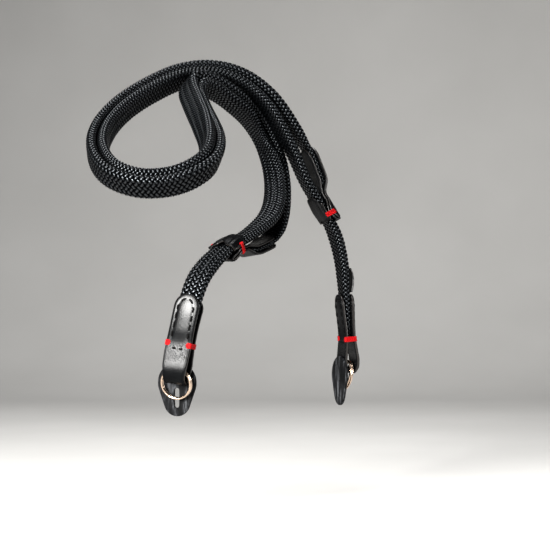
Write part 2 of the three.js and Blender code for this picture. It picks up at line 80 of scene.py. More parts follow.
# %% The route
SLIDER_AT = {"right": 97 * MM, "left": 86.5 * MM}
CORD_WIDTH = 13.5 * MM
CORD_THICKNESS = 5.2 * MM
CORD_SPACING = 5.9 * MM
ROUTE = [
    (0.0727, -0.0029, 0.0091, -0.42, -0.91, 0),
    (0.0709, -0.0034, 0.0291, -0.48, -0.88, 0),
    (0.0696, -0.0025, 0.051, -0.5, -0.87, 0),
    (0.069, -0.001, 0.072, -0.45, -0.89, 0.05),
    (0.0665, 0.002, 0.0895, -0.4, -0.9, 0.1),
    (0.062, 0.0064, 0.1037, -0.5, -0.8, 0.05),
    (0.0534, 0.0136, 0.1226, -0.48, -0.82, 0.11),
    (0.0468, 0.0182, 0.14, -0.43, -0.82, 0.22),
    (0.0376, 0.0224, 0.1584, -0.5, -0.85, 0.3),
    (0.0284, 0.026, 0.1704, -0.55, -0.75, 0.35),
    (0.0155, 0.0325, 0.1798, -0.55, -0.7, 0.45),
    (-0.001, 0.0395, 0.1834, -0.6, -0.6, 0.55),
    (-0.0204, 0.045, 0.1802, -0.6, -0.55, 0.6),
    (-0.0416, 0.047, 0.1708, -0.6, -0.5, 0.68),
    (-0.0644, 0.045, 0.1578, -0.6, -0.5, 0.72),
    (-0.084, 0.037, 0.1438, -0.55, -0.45, 0.75),
    (-0.099, 0.023, 0.13, -0.5, -0.5, 0.7),
    (-0.1058, 0.0048, 0.118, -0.45, -0.5, 0.7),
    (-0.102, -0.012, 0.1116, -0.45, -0.5, 0.7),
    (-0.092, -0.0235, 0.1115, -0.5, -0.5, 0.7),
    (-0.081, -0.0304, 0.1158, -0.45, -0.55, 0.7),
    (-0.0678, -0.0298, 0.124, -0.3, -0.65, 0.65),
    (-0.0564, -0.0196, 0.1344, -0.1, -0.75, 0.65),
    (-0.0462, -0.0034, 0.146, 0.2, -0.75, 0.6),
    (-0.0356, 0.0146, 0.1576, 0.35, -0.75, 0.6),
    (-0.0262, 0.0298, 0.169, 0.25, -0.8, 0.55),
    (-0.019, 0.033, 0.175, -0.1, -0.8, 0.6),
    (-0.0076, 0.0326, 0.1742, -0.5, -0.7, 0.5),
    (0.0066, 0.032, 0.1686, -0.55, -0.7, 0.45),
    (0.0246, 0.0348, 0.1602, -0.45, -0.8, 0.4),
    (0.036, 0.034, 0.1474, -0.3, -0.9, 0.3),
    (0.0366, 0.0264, 0.1304, 0.1, -0.95, 0.2),
    (0.0284, 0.0166, 0.1124, 0.35, -0.9, 0.1),
    (0.0132, 0.0068, 0.0976, 0.3, -0.94, -0.05),
    (-0.0084, 0.0004, 0.086, 0.3, -0.93, 0.17),
    (-0.0284, -0.003, 0.0782, 0.32, -0.94, 0.07),
    (-0.0465, -0.0065, 0.068, 0.35, -0.93, -0.08),
    (-0.0578, -0.0079, 0.055, 0.45, -0.89, -0.03),
    (-0.0636, -0.0049, 0.0288, 0.42, -0.91, 0),
    (-0.0658, -0.003, 0.0074, 0.42, -0.91, 0),
]


def smooth_line(points, samples, power=0.0):
    """A smooth curve through the points. Power 0 spaces its knots evenly, 0.5 by the distances' roots."""
    points = np.array(points, dtype=float)
    points = np.vstack([2 * points[0] - points[1], points, 2 * points[-1] - points[-2]])
    gaps = np.linalg.norm(np.diff(points, axis=0), axis=1) ** power
    spot = np.linspace(0, len(points) - 3, samples + 1)
    i = np.minimum(spot.astype(int), len(points) - 4)
    part = (spot - i)[:, None]
    a, b, c, d = (points[i + k] for k in range(4))
    ab, bc, cd = (gaps[i + k][:, None] for k in range(3))
    start = bc * ((b - a) / ab - (c - a) / (ab + bc) + (c - b) / bc)
    end = bc * ((c - b) / bc - (d - b) / (bc + cd) + (d - c) / cd)
    bend = -3 * b + 3 * c - 2 * start - end
    return b + start * part + bend * part**2 + (2 * b - 2 * c + start + end) * part**3


def unit(vectors):
    return vectors / np.linalg.norm(vectors, axis=-1, keepdims=True)


def lengths_along(points):
    steps = np.linalg.norm(np.diff(points, axis=0), axis=1)
    return np.concatenate([[0], np.cumsum(steps)])


LINE = smooth_line([row[:3] for row in ROUTE], 6000)
EDGE = smooth_line([row[3:] for row in ROUTE], 6000)
DISTANCE = lengths_along(LINE)
ROUTE_LENGTH = DISTANCE[-1]
ALONG = unit(np.gradient(LINE, axis=0))
ACROSS = unit(EDGE - ALONG * np.sum(EDGE * ALONG, axis=1, keepdims=True))
OUT = np.cross(ALONG, ACROSS)
print("the strap is", round(ROUTE_LENGTH, 4), "m from fold to fold")


def at_distance(values, distance):
    return np.stack([np.interp(distance, DISTANCE, values[:, k]) for k in range(3)], axis=-1)


def place(end, distance, across, out):
    """World points from one end of the strap. A left end is a right end turned over."""
    distance, across, out = np.broadcast_arrays(distance, across, out)
    if end == "left":
        distance, out = ROUTE_LENGTH - distance, -out
    beyond = distance - np.clip(distance, 0, ROUTE_LENGTH)
    point = at_distance(LINE, distance) + at_distance(ALONG, distance) * beyond[..., None]
    point = point + at_distance(ACROSS, distance) * across[..., None]
    return point + at_distance(OUT, distance) * out[..., None]


def table(rows, at):
    """A length in metres from a table in millimetres, on straight lines between its rows."""
    rows = np.array(sorted(rows))
    return np.interp(np.asarray(at) / MM, rows[:, 0], rows[:, 1]) * MM


# %% [markdown]
# ## Turning numbers into meshes
#
# Most pieces are grids of points, so one helper makes a mesh from points and faces, gives it its
# materials and an optional map of its own surface, and turns it outward if it came out inside out.


# %% Mesh helpers
def add_map(mesh, name, values):
    """Gives a mesh a map with two numbers for each point."""
    corners = np.empty(len(mesh.loops), dtype=np.int32)
    mesh.loops.foreach_get("vertex_index", corners)
    mesh.uv_layers.new(name=name).data.foreach_set("uv", np.asarray(values, dtype=float)[corners].ravel())


def make_object(name, points, faces, materials, face_materials=None, surface_map=None):
    """faces is a list of arrays of corner numbers; surface_map gives two numbers for each point."""
    points = np.asarray(points, dtype=float)
    faces = [np.asarray(block) for block in faces if len(block)]
    fans = np.vstack([block[:, [0, k, k + 1]] for block in faces for k in range(1, block.shape[1] - 1)])
    a, b, c = (points[fans[:, k]] for k in range(3))
    if np.sum(a * np.cross(b, c)) < 0:
        faces = [block[:, ::-1] for block in faces]
    rows = [row for block in faces for row in block.tolist()]
    mesh = bpy.data.meshes.new(name)
    mesh.from_pydata(points.tolist(), [], rows)
    for material in materials:
        mesh.materials.append(material)
    if face_materials is not None:
        mesh.polygons.foreach_set("material_index", np.concatenate(face_materials))
    mesh.polygons.foreach_set("use_smooth", np.ones(len(mesh.polygons), dtype=bool))
    if surface_map is not None:
        add_map(mesh, "surface", surface_map)
    mesh.update()
    piece = bpy.data.objects.new(name, mesh)
    bpy.context.scene.collection.objects.link(piece)
    return piece


def grid_faces(rows, columns, around=False):
    """Four-cornered faces of a grid of points; around joins its last column to its first."""
    last = columns if around else columns - 1
    row, column = np.meshgrid(np.arange(rows - 1), np.arange(last), indexing="ij")
    row, column = row.ravel(), column.ravel()
    here, beside = row * columns + column, row * columns + (column + 1) % columns
    return np.stack([here, beside, beside + columns, here + columns], 1)


def triangles(faces):
    return sum(len(block) * (block.shape[1] - 2) for block in faces)


def tube(path, radius, sides):
    """Points and faces of a closed round tube; its end rings are closed with one face each."""
    path = np.asarray(path, dtype=float)
    along = unit(np.gradient(path, axis=0))
    guide = np.cross(along[0], [0.3, 0.5, 0.8])
    sideways = []
    for direction in along:
        guide = guide - direction * np.dot(guide, direction)
        guide = guide / np.linalg.norm(guide)
        sideways.append(guide)
    sideways = np.array(sideways)
    upward = np.cross(along, sideways)
    turn = np.linspace(0, 2 * np.pi, sides, endpoint=False)
    ring = sideways[:, None] * np.cos(turn)[:, None] + upward[:, None] * np.sin(turn)[:, None]
    points = (path[:, None] + radius * ring).reshape(-1, 3)
    caps = np.array([np.arange(sides)[::-1], (len(path) - 1) * sides + np.arange(sides)])
    return points, [grid_faces(len(path), sides, True), caps]


def joined(parts):
    """One set of points and faces from several, each of which counts its points from zero."""
    points, faces, count = [], {}, 0
    for part_points, part_faces in parts:
        points.append(part_points)
        for block in part_faces:
            faces.setdefault(block.shape[1], []).append(block + count)
        count += len(part_points)
    return np.vstack(points), [np.vstack(blocks) for blocks in faces.values()]

# %% [markdown]
# ## Finishes
#
# Each finish is a small tree of nodes on one shader. What is the same all over is set on the shader's
# own socket, and only what varies over the surface is linked: fibres, grain, scuffs and wear. The
# helpers below add a node or two each, so that a finish can be read as a short recipe.


# %% Material helpers
def new_material(name, color, roughness, **sockets):
    material = bpy.data.materials.new(name)
    material.use_nodes = True
    material.diffuse_color = (*color, 1)
    shader = material.node_tree.nodes["Principled BSDF"]
    shader.inputs["Base Color"].default_value = (*color, 1)
    shader.inputs["Roughness"].default_value = roughness
    for socket, value in sockets.items():
        shader.inputs[socket.replace("_", " ")].default_value = value
    return material


def set_input(material, socket, value):
    """Links another node's output to a socket, or gives the socket a value."""
    if isinstance(value, bpy.types.NodeSocket):
        material.node_tree.links.new(value, socket)
    else:
        socket.default_value = value


def node(material, kind, settings=None, **inputs):
    """Adds a node; its inputs are named, with _ for the spaces in a name."""
    made = material.node_tree.nodes.new(kind)
    for key, value in (settings or {}).items():
        setattr(made, key, value)
    for key, value in inputs.items():
        set_input(material, made.inputs[key.replace("_", " ")], value)
    return made


def link(material, output, socket):
    material.node_tree.links.new(output, material.node_tree.nodes["Principled BSDF"].inputs[socket])


# %% Arithmetic, colours and relief
def calculate(material, operation, *values):
    """One step of arithmetic on numbers or other nodes' outputs."""
    made = node(material, "ShaderNodeMath", {"operation": operation})
    for socket, value in zip(made.inputs, values):
        set_input(material, socket, value)
    return made.outputs[0]


def ramp(material, value, stops):
    """A colour ramp; stops are (place, (red, green, blue)) or (place, grey)."""
    made = node(material, "ShaderNodeValToRGB", Fac=value)
    elements = made.color_ramp.elements
    while len(elements) < len(stops):
        elements.new(0.5)
    for element, (spot, color) in zip(elements, stops):
        element.position = spot
        element.color = (*color, 1) if isinstance(color, tuple) else (color, color, color, 1)
    return made.outputs["Color"]


def mixed(material, factor, below, above, blend="MIX"):
    """Two colours laid over each other; a colour is three numbers or another node's output."""
    made = node(material, "ShaderNodeMix", {"data_type": "RGBA", "blend_type": blend}, Factor=factor)
    for name, color in (("A", below), ("B", above)):
        set_input(material, made.inputs[name], (*color, 1) if isinstance(color, tuple) else color)
    return made.outputs["Result"]


def bump(material, height, strength, distance, below=None):
    made = node(material, "ShaderNodeBump", Height=height, Strength=strength, Distance=distance)
    if below is not None:
        set_input(material, made.inputs["Normal"], below)
    return made.outputs["Normal"]


# %% Coordinates and patterns
def surface_coordinates(material, scale):
    """The piece's own surface map, stretched by scale."""
    where = node(material, "ShaderNodeUVMap", {"uv_map": "surface"}).outputs["UV"]
    return node(material, "ShaderNodeMapping", Vector=where, Scale=scale).outputs["Vector"]


def object_coordinates(material, scale=(1, 1, 1)):
    where = node(material, "ShaderNodeTexCoord").outputs["Object"]
    return node(material, "ShaderNodeMapping", Vector=where, Scale=scale).outputs["Vector"]


def map_parts(material, name):
    """The two numbers of one of the piece's maps."""
    where = node(material, "ShaderNodeUVMap", {"uv_map": name}).outputs["UV"]
    parts = node(material, "ShaderNodeSeparateXYZ", Vector=where)
    return parts.outputs["X"], parts.outputs["Y"]


def noise(material, where, scale, detail=2.0, roughness=0.5):
    inputs = {"Scale": scale, "Detail": detail, "Roughness": roughness}
    return node(material, "ShaderNodeTexNoise", Vector=where, **inputs).outputs["Fac"]


def pebbles(material, where, scale):
    """The rounded cells of a pebbled grain."""
    made = node(material, "ShaderNodeTexVoronoi", {"feature": "SMOOTH_F1"}, Vector=where, Scale=scale)
    return made.outputs["Distance"]


# %% [markdown]
# ### Yarn
#
# The plait is spun from black filament yarn with a faint blue cast. Its filaments lie along each strand,
# so a noise that is stretched along the strand roughens it only across. A strand shines only where it
# lies on top: where it dives, it is shaded and rubbed dull by its neighbours. A flat shine all over would
# turn the cord grey, so each strand carries a second map of how high a point stands and how near it is
# to the strand's middle. Their product sets the shine, and the cord glints in short dashes, one to a
# crossing.


# %% Yarn and core
def yarn_finish():
    tint = (0.86, 0.93, 1.0, 1)
    material = new_material(
        "braid_yarn", (0.0007, 0.0008, 0.001), 0.3, Specular_IOR_Level=0.3, Specular_Tint=tint
    )
    fibres = noise(material, surface_coordinates(material, (0.35 / MM, 9.0, 1)), 1.0, 3.0)
    patches = noise(material, object_coordinates(material), 260.0)
    tone = ramp(material, fibres, [(0.3, (0.0003, 0.00035, 0.0004)), (0.7, (0.0009, 0.0011, 0.0014))])
    shade = ramp(material, patches, [(0.3, 0.7), (0.7, 1.15)])
    link(material, mixed(material, 1.0, tone, shade, "MULTIPLY"), "Base Color")
    link(material, ramp(material, fibres, [(0.25, 0.4), (0.75, 0.25)]), "Roughness")
    crown = calculate(material, "MULTIPLY", *map_parts(material, "crown"))
    link(material, ramp(material, crown, [(0.3, 0.02), (0.8, 0.5)]), "Specular IOR Level")
    link(material, bump(material, fibres, 0.2, 0.06 * MM), "Normal")
    return material


def core_finish():
    material = new_material("braid_core", (0.002, 0.002, 0.0025), 0.95, Specular_IOR_Level=0.05)
    fuzz = noise(material, object_coordinates(material), 900.0)
    tone = ramp(material, fuzz, [(0.3, (0.001, 0.001, 0.0015)), (0.7, (0.004, 0.004, 0.005))])
    link(material, tone, "Base Color")
    return material


BRAID_YARN, BRAID_CORE = yarn_finish(), core_finish()
print("finishes:", BRAID_YARN.name, "and", BRAID_CORE.name)

# %% [markdown]
# ## The plait
#
# The cord is a round plait of sixteen strands pressed flat over a soft core: eight strands wind one
# way, eight the other, each over one and under one. It could be a bump on a plain tube, but the strands
# give the cord its toothed outline and its dashes of light, so they are modelled. A strand is worked out
# on the unrolled cord as places along and around, with a height that rises over each crossing. The
# points are then wrapped round the flat section and bent along the route.

# %% The plait's numbers
STRANDS = 16
PITCH = 2.45 * MM
STRAND_HALF_WIDTH = 0.88 * MM
STRAND_MIDDLE = CORD_THICKNESS / 2 - 0.5 * MM
STRAND_RISE = 0.42 * MM
CORE_RADIUS = CORD_THICKNESS / 2 - 1.05 * MM
GIRTH = 2 * (CORD_WIDTH - CORD_THICKNESS) + math.pi * CORD_THICKNESS
COLUMN_WIDTH = GIRTH / STRANDS
print("one column of crossings is", round(COLUMN_WIDTH / MM, 2), "mm wide")

# %% [markdown]
# The leather presses each cord's two ends flat. In the tab, a row of the table gives the distance from
# the tab's fold, then the half width and half thickness there. In the slider it gives the distance past
# the slider's middle, the same two, and how far the cord is shifted to leave room for the leather. The
# cord also stands off its neighbour a little past the slider, where the slider's petals lie between them.

# %% The pressed ends
CORD_START = 21 * MM
CORD_END = 14 * MM
CORD_IN_TAB = [(21, 5.2, 1.0), (34, 6.1, 1.65), (46, 6.4, 2.1), (58, 6.75, 2.6)]
CORD_IN_SLIDER = [
    (14, 4.2, 0.55, -0.78),
    (17.5, 5.0, 1.15, -0.15),
    (30, 5.7, 1.3, -0.15),
    (40, 6.2, 1.4, -0.1),
    (50, 6.6, 2.3, 0.1),
    (62, 6.75, 2.6, 0),
]
SPLAY_AT = (9, 13, 16.5, 20, 30, 40, 50, 60, 72, 86)
SPLAY = {
    "right": list(zip(SPLAY_AT, (0, 0.5, 1.9, 3, 3.5, 3.1, 2, 1, 0.3, 0))),
    "left": list(zip(SPLAY_AT, (0, 0.6, 2.1, 3.3, 4.6, 5.4, 4.6, 3, 1.2, 0))),
}
OTHER = {"right": "left", "left": "right"}


def splay(end, past):
    """How far the cords stand apart, by the distance past the middle of an end's slider."""
    return table(SPLAY[end], past)


def column(rows, k, at):
    return table([(row[0], row[k]) for row in rows], at)


def past_far_slider(end, distance):
    """The distance past the slider that holds this cord's far end."""
    return ROUTE_LENGTH - distance - SLIDER_AT[OTHER[end]]


def cord_middle(end, distance):
    """How far the middle of an end's cord lies out of the strap's own line."""
    past = past_far_slider(end, distance)
    return -CORD_SPACING / 2 - column(CORD_IN_SLIDER, 3, past) - splay(OTHER[end], past)


# %% Wrapping round the cord and bending along it
def on_cord(end, distance, around, height):
    """World points from a place along the cord, a length round its section and a height off its heart."""
    radius = CORD_THICKNESS / 2
    straight = CORD_WIDTH - CORD_THICKNESS
    quarter = math.pi * radius / 2
    a = np.mod(around + quarter, GIRTH) - quarter
    turn_near = np.clip(a, -quarter, quarter) / radius
    back = a - quarter - straight
    turn_far = np.clip(back, 0, 2 * quarter) / radius
    turn = turn_near + turn_far
    along_top = np.clip(a - quarter, 0, straight)
    along_foot = np.clip(back - 2 * quarter, 0, straight)
    x = straight / 2 - along_top + along_foot + height * np.cos(turn)
    y = height * np.sin(turn)
    past = past_far_slider(end, distance)
    half_width = np.minimum(column(CORD_IN_TAB, 1, distance), column(CORD_IN_SLIDER, 1, past))
    half_thickness = np.minimum(column(CORD_IN_TAB, 2, distance), column(CORD_IN_SLIDER, 2, past))
    x = x * half_width / (CORD_WIDTH / 2)
    y = y * half_thickness / (CORD_THICKNESS / 2)
    return place(end, distance, x, cord_middle(end, distance) + y)


# %% [markdown]
# A strand has four rings over every crossing, and each ring has five corners. Two rings carry it flat
# over the crossing at its full width, and the other two are where it goes down, a little narrower. Each
# crossing is a little looser or tighter than the next, which keeps the plait from looking printed.

# %% One strand
STRAND_SECTION = np.array([(-1.0, -0.3), (-0.56, 0.1), (0.0, 0.3), (0.56, 0.1), (1.0, -0.3)])
RISE_PLACES = np.array([-0.54, -0.3, 0.3, 0.54])
RISES = np.array([0.0, 0.95, 0.95, 0.0])
RISE_WIDTHS = np.array([0.85, 1.0, 1.0, 0.85])
LOOSENESS, UNEVENNESS = 0.03, 0.04
SURFACE_SHIFT = 0.37


def strand(end, number, crossings, chance):
    """Points and faces of one closed strand, with its surface map and its crown map."""
    way = 1 if number < STRANDS // 2 else -1
    start = 2 * (number % (STRANDS // 2))
    offset = 0.5 if way > 0 else 1.5
    steps = np.arange(crossings)[:, None] * 2 + offset + RISE_PLACES
    rise = (RISES + chance.normal(0, LOOSENESS, (crossings, 1))) * STRAND_RISE
    width = RISE_WIDTHS * STRAND_HALF_WIDTH * (1 + chance.normal(0, UNEVENNESS, (crossings, 1)))
    steps, rise, width = steps.ravel(), rise.ravel(), width.ravel()
    half_pitch = PITCH / 2
    lean, straight = unit(np.array([COLUMN_WIDTH, half_pitch]))
    along = CORD_START + steps * half_pitch
    around = (start + way * (steps - 0.5) + 0.5) * COLUMN_WIDTH
    sideways = STRAND_SECTION[:, 0] * width[:, None]
    height = STRAND_MIDDLE + rise[:, None] + STRAND_SECTION[:, 1] * MM
    along, around = along[:, None] - way * lean * sideways, around[:, None] + straight * sideways
    points = on_cord(end, along, around, height)
    rings, sides = points.shape[:2]
    caps = np.array([np.arange(sides)[::-1], (rings - 1) * sides + np.arange(sides)])
    run = np.repeat(steps * half_pitch / straight + number * SURFACE_SHIFT, sides)
    surface = np.stack([run, np.tile(STRAND_SECTION[:, 0] + number, rings)], axis=1)
    high = np.repeat(np.tile(RISES, crossings), sides)
    crown = np.stack([high, np.tile(1 - np.abs(STRAND_SECTION[:, 0]), rings)], axis=1)
    return points.reshape(-1, 3), [grid_faces(rings, sides, True), caps], surface, crown


# %% The core
CORE_SIDES = 24
CORE_STEP = 5 * MM


def core(end, last):
    """Points and faces of the soft core, which closes the gaps between the strands."""
    rings = np.arange(CORD_START, last, CORE_STEP)
    around = np.arange(CORE_SIDES) * GIRTH / CORE_SIDES
    points = on_cord(end, rings[:, None], around[None, :], CORE_RADIUS).reshape(-1, 3)
    caps = np.array([np.arange(CORE_SIDES)[::-1], (len(rings) - 1) * CORE_SIDES + np.arange(CORE_SIDES)])
    return points, [grid_faces(len(rings), CORE_SIDES, True), caps]


# %% [markdown]
# A plait is sixteen strands and a core in one mesh. A strap's cord is soft and takes this shape only
# while the camera holds its ends; the path of its own middle gives the cord's length.


# %% Make both plaits
PATH_STATIONS = 240


def plait(end, seed):
    chance = np.random.default_rng(seed)
    last = ROUTE_LENGTH - SLIDER_AT[OTHER[end]] - CORD_END
    crossings = int((last - CORD_START) / PITCH)
    strands = [strand(end, number, crossings, chance) for number in range(STRANDS)]
    core_points, core_faces = core(end, last)
    blank = np.zeros((len(core_points), 2))
    points, faces = joined([made[:2] for made in strands] + [(core_points, core_faces)])
    # Faces that lie wholly in the core's points take the core's material.
    edge = len(points) - len(core_points)
    marks = [(block.min(axis=1) >= edge).astype(np.int32) for block in faces]
    surface = np.vstack([made[2] for made in strands] + [blank])
    piece = make_object(f"braid_{end}_plait", points, faces, [BRAID_YARN, BRAID_CORE], marks, surface)
    add_map(piece.data, "crown", np.vstack([made[3] for made in strands] + [blank]))
    stations = np.linspace(CORD_START, last, PATH_STATIONS)
    path = place(end, stations, 0, cord_middle(end, stations))
    length = lengths_along(path)[-1]
    print(piece.name, "is", round(length, 3), "m long, with", triangles(faces), "triangles")
    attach(piece, "root")
    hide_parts(f"braid_{end}")
    tuple(path[0])


for seed, end in ((11, "left"), (12, "right")):
    plait(end, seed)

# %% [markdown]
# ## Leather finishes
#
# The tabs, sliders and label are black bridle leather, smooth and waxed. On a tab the leather's grain
# rises where it is flexed between the whippings and the fold. Its shine is set by the height over the
# lugs: a painted sheen just below the whippings and on the upper petal, and painted shade on the fold and
# just above the whippings. Two tables give the grain and the painted shine. A waxed face mirrors its
# surroundings at a shallow angle, but rubbed leather doesn't, so its shine is taken down there. Along the
# cut edges the shine is cut and the colour is lightened, a painted highlight on the rim. The sliders are
# the same hide, dulled by handling.

# %% Where a tab's leather is flexed, and its painted sheen and shade
FLEX_HEIGHT = 40 * MM
GRAIN_RAISED = [(0.46, 0.15), (0.52, 1.0), (0.68, 1.0), (0.76, 0.15)]
# Painted sheen and shade on a tab, by height: full shine just below the whippings and on the upper petal,
# and the shine cut on the fold and just above the whippings.
PAINTED_SHEEN_BY_HEIGHT = [(0.38, 0.25), (0.5, 1.0), (0.67, 1.0), (0.76, 0.22), (0.86, 0.3), (0.98, 1.0)]


# %% Grained leather
def grained_leather(name, gloss, coat, shine, grain):
    """gloss and coat are the strength of its reflections, shine its two roughnesses, grain its relief."""
    material = new_material(
        name, (0.006, 0.0064, 0.0075), 0.3, Specular_IOR_Level=gloss, Coat_Weight=coat, Coat_Roughness=0.12
    )
    where = object_coordinates(material)
    height = node(material, "ShaderNodeSeparateXYZ", Vector=where).outputs["Z"]
    height = calculate(material, "MULTIPLY", height, 1 / FLEX_HEIGHT)
    inset = calculate(material, "MULTIPLY", map_parts(material, "edge")[0], 0.5)
    wear = noise(material, where, 120.0, 4.0)
    tone = ramp(material, wear, [(0.35, (0.0008, 0.0009, 0.0011)), (0.7, (0.0022, 0.0024, 0.0027))])
    # Painted highlight: the colour is lightened within about a millimetre of the cut outline, and the shine
    # there is cut further down.
    rim = ramp(material, inset, [(0.2, 1.0), (0.5, 0.0)])
    link(material, mixed(material, rim, tone, (0.003, 0.003, 0.0032)), "Base Color")
    link(material, ramp(material, wear, [(0.3, shine[0]), (0.75, shine[1])]), "Roughness")

    shallow = node(material, "ShaderNodeLayerWeight", Blend=0.5).outputs["Facing"]
    # Painted sheen and shade: the shine follows the height table, then the viewing angle and the distance
    # from the cut edge.
    painted_shine = calculate(material, "MULTIPLY", ramp(material, height, PAINTED_SHEEN_BY_HEIGHT), gloss)
    painted_shine = calculate(material, "MULTIPLY", ramp(material, shallow, [(0.3, 1.0), (0.7, 0.15)]), painted_shine)
    painted_shine = calculate(material, "MULTIPLY", ramp(material, inset, [(0.5, 0.3), (0.95, 1.0)]), painted_shine)
    link(material, painted_shine, "Specular IOR Level")

    cells = pebbles(material, where, 1700.0)
    raised = bump(material, cells, ramp(material, height, GRAIN_RAISED), 0.17 * grain * MM)
    fine = noise(material, where, 2600.0)
    link(material, bump(material, fine, 0.2, 0.05 * grain * MM, below=raised), "Normal")
    return material


TAB_FINISH = grained_leather("glossy_leather", 0.16, 0.0, (0.2, 0.27), 1.0)
SLIDER_FINISH = grained_leather("slider_leather", 0.14, 0.0, (0.22, 0.34), 1.9)
LABEL_FINISH = grained_leather("label_leather", 0.3, 0.1, (0.28, 0.38), 0.6)
print("leather:", TAB_FINISH.name, SLIDER_FINISH.name, LABEL_FINISH.name)

# %% [markdown]
# The cut edges are burnished brown-black and show the layers of the hide, so their tone follows the
# level between the two faces, shaken by a noise. The ring protectors show the hide's dull side, scuffed
# grey in upright streaks by the ring.


# %% Cut edges
def cut_edge():
    material = new_material("raw_edge", (0.007, 0.0055, 0.0045), 0.3, Specular_IOR_Level=0.45)
    level = map_parts(material, "edge")[1]
    fibres = noise(material, object_coordinates(material), 700.0, 3.0)
    layer = calculate(material, "MULTIPLY_ADD", fibres, 0.8, level)
    layer = calculate(material, "MULTIPLY_ADD", layer, 0.4, 0.4)
    layers = [
        (0.1, (0.0035, 0.003, 0.0028)),
        (0.42, (0.011, 0.008, 0.006)),
        (0.6, (0.0045, 0.0038, 0.0033)),
        (0.9, (0.0065, 0.006, 0.0055)),
    ]
    link(material, ramp(material, layer, layers), "Base Color")
    link(material, bump(material, fibres, 0.5, 0.1 * MM), "Normal")
    return material


# %% Scuffed leather
def scuffed_leather():
    material = new_material("matte_leather", (0.006, 0.0063, 0.007), 0.62, Specular_IOR_Level=0.03)
    streaks = noise(material, object_coordinates(material, (420, 420, 60)), 1.0, 5.0, 0.65)
    tones = [
        (0.4, (0.0014, 0.0015, 0.0017)),
        (0.53, (0.006, 0.0062, 0.0068)),
        (0.64, (0.05, 0.052, 0.056)),
    ]
    link(material, ramp(material, streaks, tones), "Base Color")
    link(material, ramp(material, streaks, [(0.3, 0.5), (0.7, 0.75)]), "Roughness")
    raised = bump(material, pebbles(material, object_coordinates(material), 1100.0), 0.5, 0.12 * MM)
    link(material, bump(material, streaks, 0.3, 0.1 * MM, below=raised), "Normal")
    return material


EDGE_FINISH, PROTECTOR_FINISH = cut_edge(), scuffed_leather()
print("and", EDGE_FINISH.name, PROTECTOR_FINISH.name)

# %% [markdown]
# ## Sheets of leather
#
# Every leather piece but the protectors is one thick sheet that follows a side view. It could be a flat
# sheet with a thickness added by a modifier, but then its corners would be sharp. So a sheet is a grid
# of places along and across it, and two copies of the grid make its faces. They are drawn together near
# the cut outline, which rounds the corners as a slicker does, and a narrow wall with a slightly bulged
# middle closes them. A map gives each point's distance from the cut outline and its level between the
# faces.

# %% The sheet builder
WALL_BULGE = 0.1 * MM


def grid_outline(rows, columns):
    """Row and column numbers of a grid's outermost points, once round."""
    r, c = np.arange(rows), np.arange(columns)
    around_r = np.concatenate([0 * c[:-1], r[:-1], 0 * c[:-1] + rows - 1, r[:0:-1]])
    around_c = np.concatenate([c[:-1], 0 * r[:-1] + columns - 1, c[:0:-1], 0 * r[:-1]])
    return around_r, around_c


def sheet_object(name, point, along, across, inset, thickness, corner, leather, pressed=0.0):
    """point(along, across, height) gives world points; inset is each place's distance from the outline."""
    rows, columns = inset.shape
    fall = corner - np.minimum(inset, corner)
    height = thickness / 2 - corner + np.sqrt(corner**2 - fall**2)
    top, foot = point(along, across, height - pressed), point(along, across, -height)
    middle = (top + foot) / 2
    around_r, around_c = grid_outline(rows, columns)
    inner = middle[np.clip(around_r, 1, rows - 2), np.clip(around_c, 1, columns - 2)]
    outline = middle[around_r, around_c]
    rim = outline + unit(outline - inner) * WALL_BULGE
    number = around_r * columns + around_c
    count, last = rows * columns, len(number)
    here, beside = np.arange(last), (np.arange(last) + 1) % last
    walls = np.vstack([
        np.stack([number[beside], number, 2 * count + here, 2 * count + beside], 1),
        np.stack([2 * count + beside, 2 * count + here, count + number, count + number[beside]], 1),
    ])
    grid = grid_faces(rows, columns)
    faces = [np.vstack([grid, count + grid[:, ::-1]]), walls]
    marks = [np.zeros(2 * len(grid), dtype=np.int32), np.ones(len(walls), dtype=np.int32)]
    flat = np.stack(np.broadcast_arrays(along, across), -1) / MM
    surface = np.vstack([flat.reshape(-1, 2), flat.reshape(-1, 2), flat[around_r, around_c]])
    points = np.vstack([top.reshape(-1, 3), foot.reshape(-1, 3), rim])
    edge = np.ones((len(points), 2))
    edge[: 2 * count, 0] = np.tile(inset.ravel(), 2) / MM
    edge[count : 2 * count, 1] = -1
    edge[2 * count :] = 0
    piece = make_object(name, points, faces, [leather, EDGE_FINISH], marks, surface)
    add_map(piece.data, "edge", edge)
    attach(piece, "root")
    print(name, "has", triangles(faces), "triangles")
    return piece


# Parts of the half width, closer together towards the cut edges.
HALF = np.array([0.0, 0.12, 0.27, 0.4, 0.5, 0.58, 0.65, 0.71, 0.77, 0.83, 0.88, 0.92, 0.96, 0.985, 1.0])
ACROSS_PARTS = np.concatenate([-HALF[:0:-1], HALF])

# %% [markdown]
# ## Side views
#
# The folded strips are given by where their middle runs in the side view, with the same rows as the
# solids: distance from the fold or past the slider's middle, and height off the cord's middle. The
# outside of a tab is a little domed over the cord inside it, and flat where the whippings pull it in.

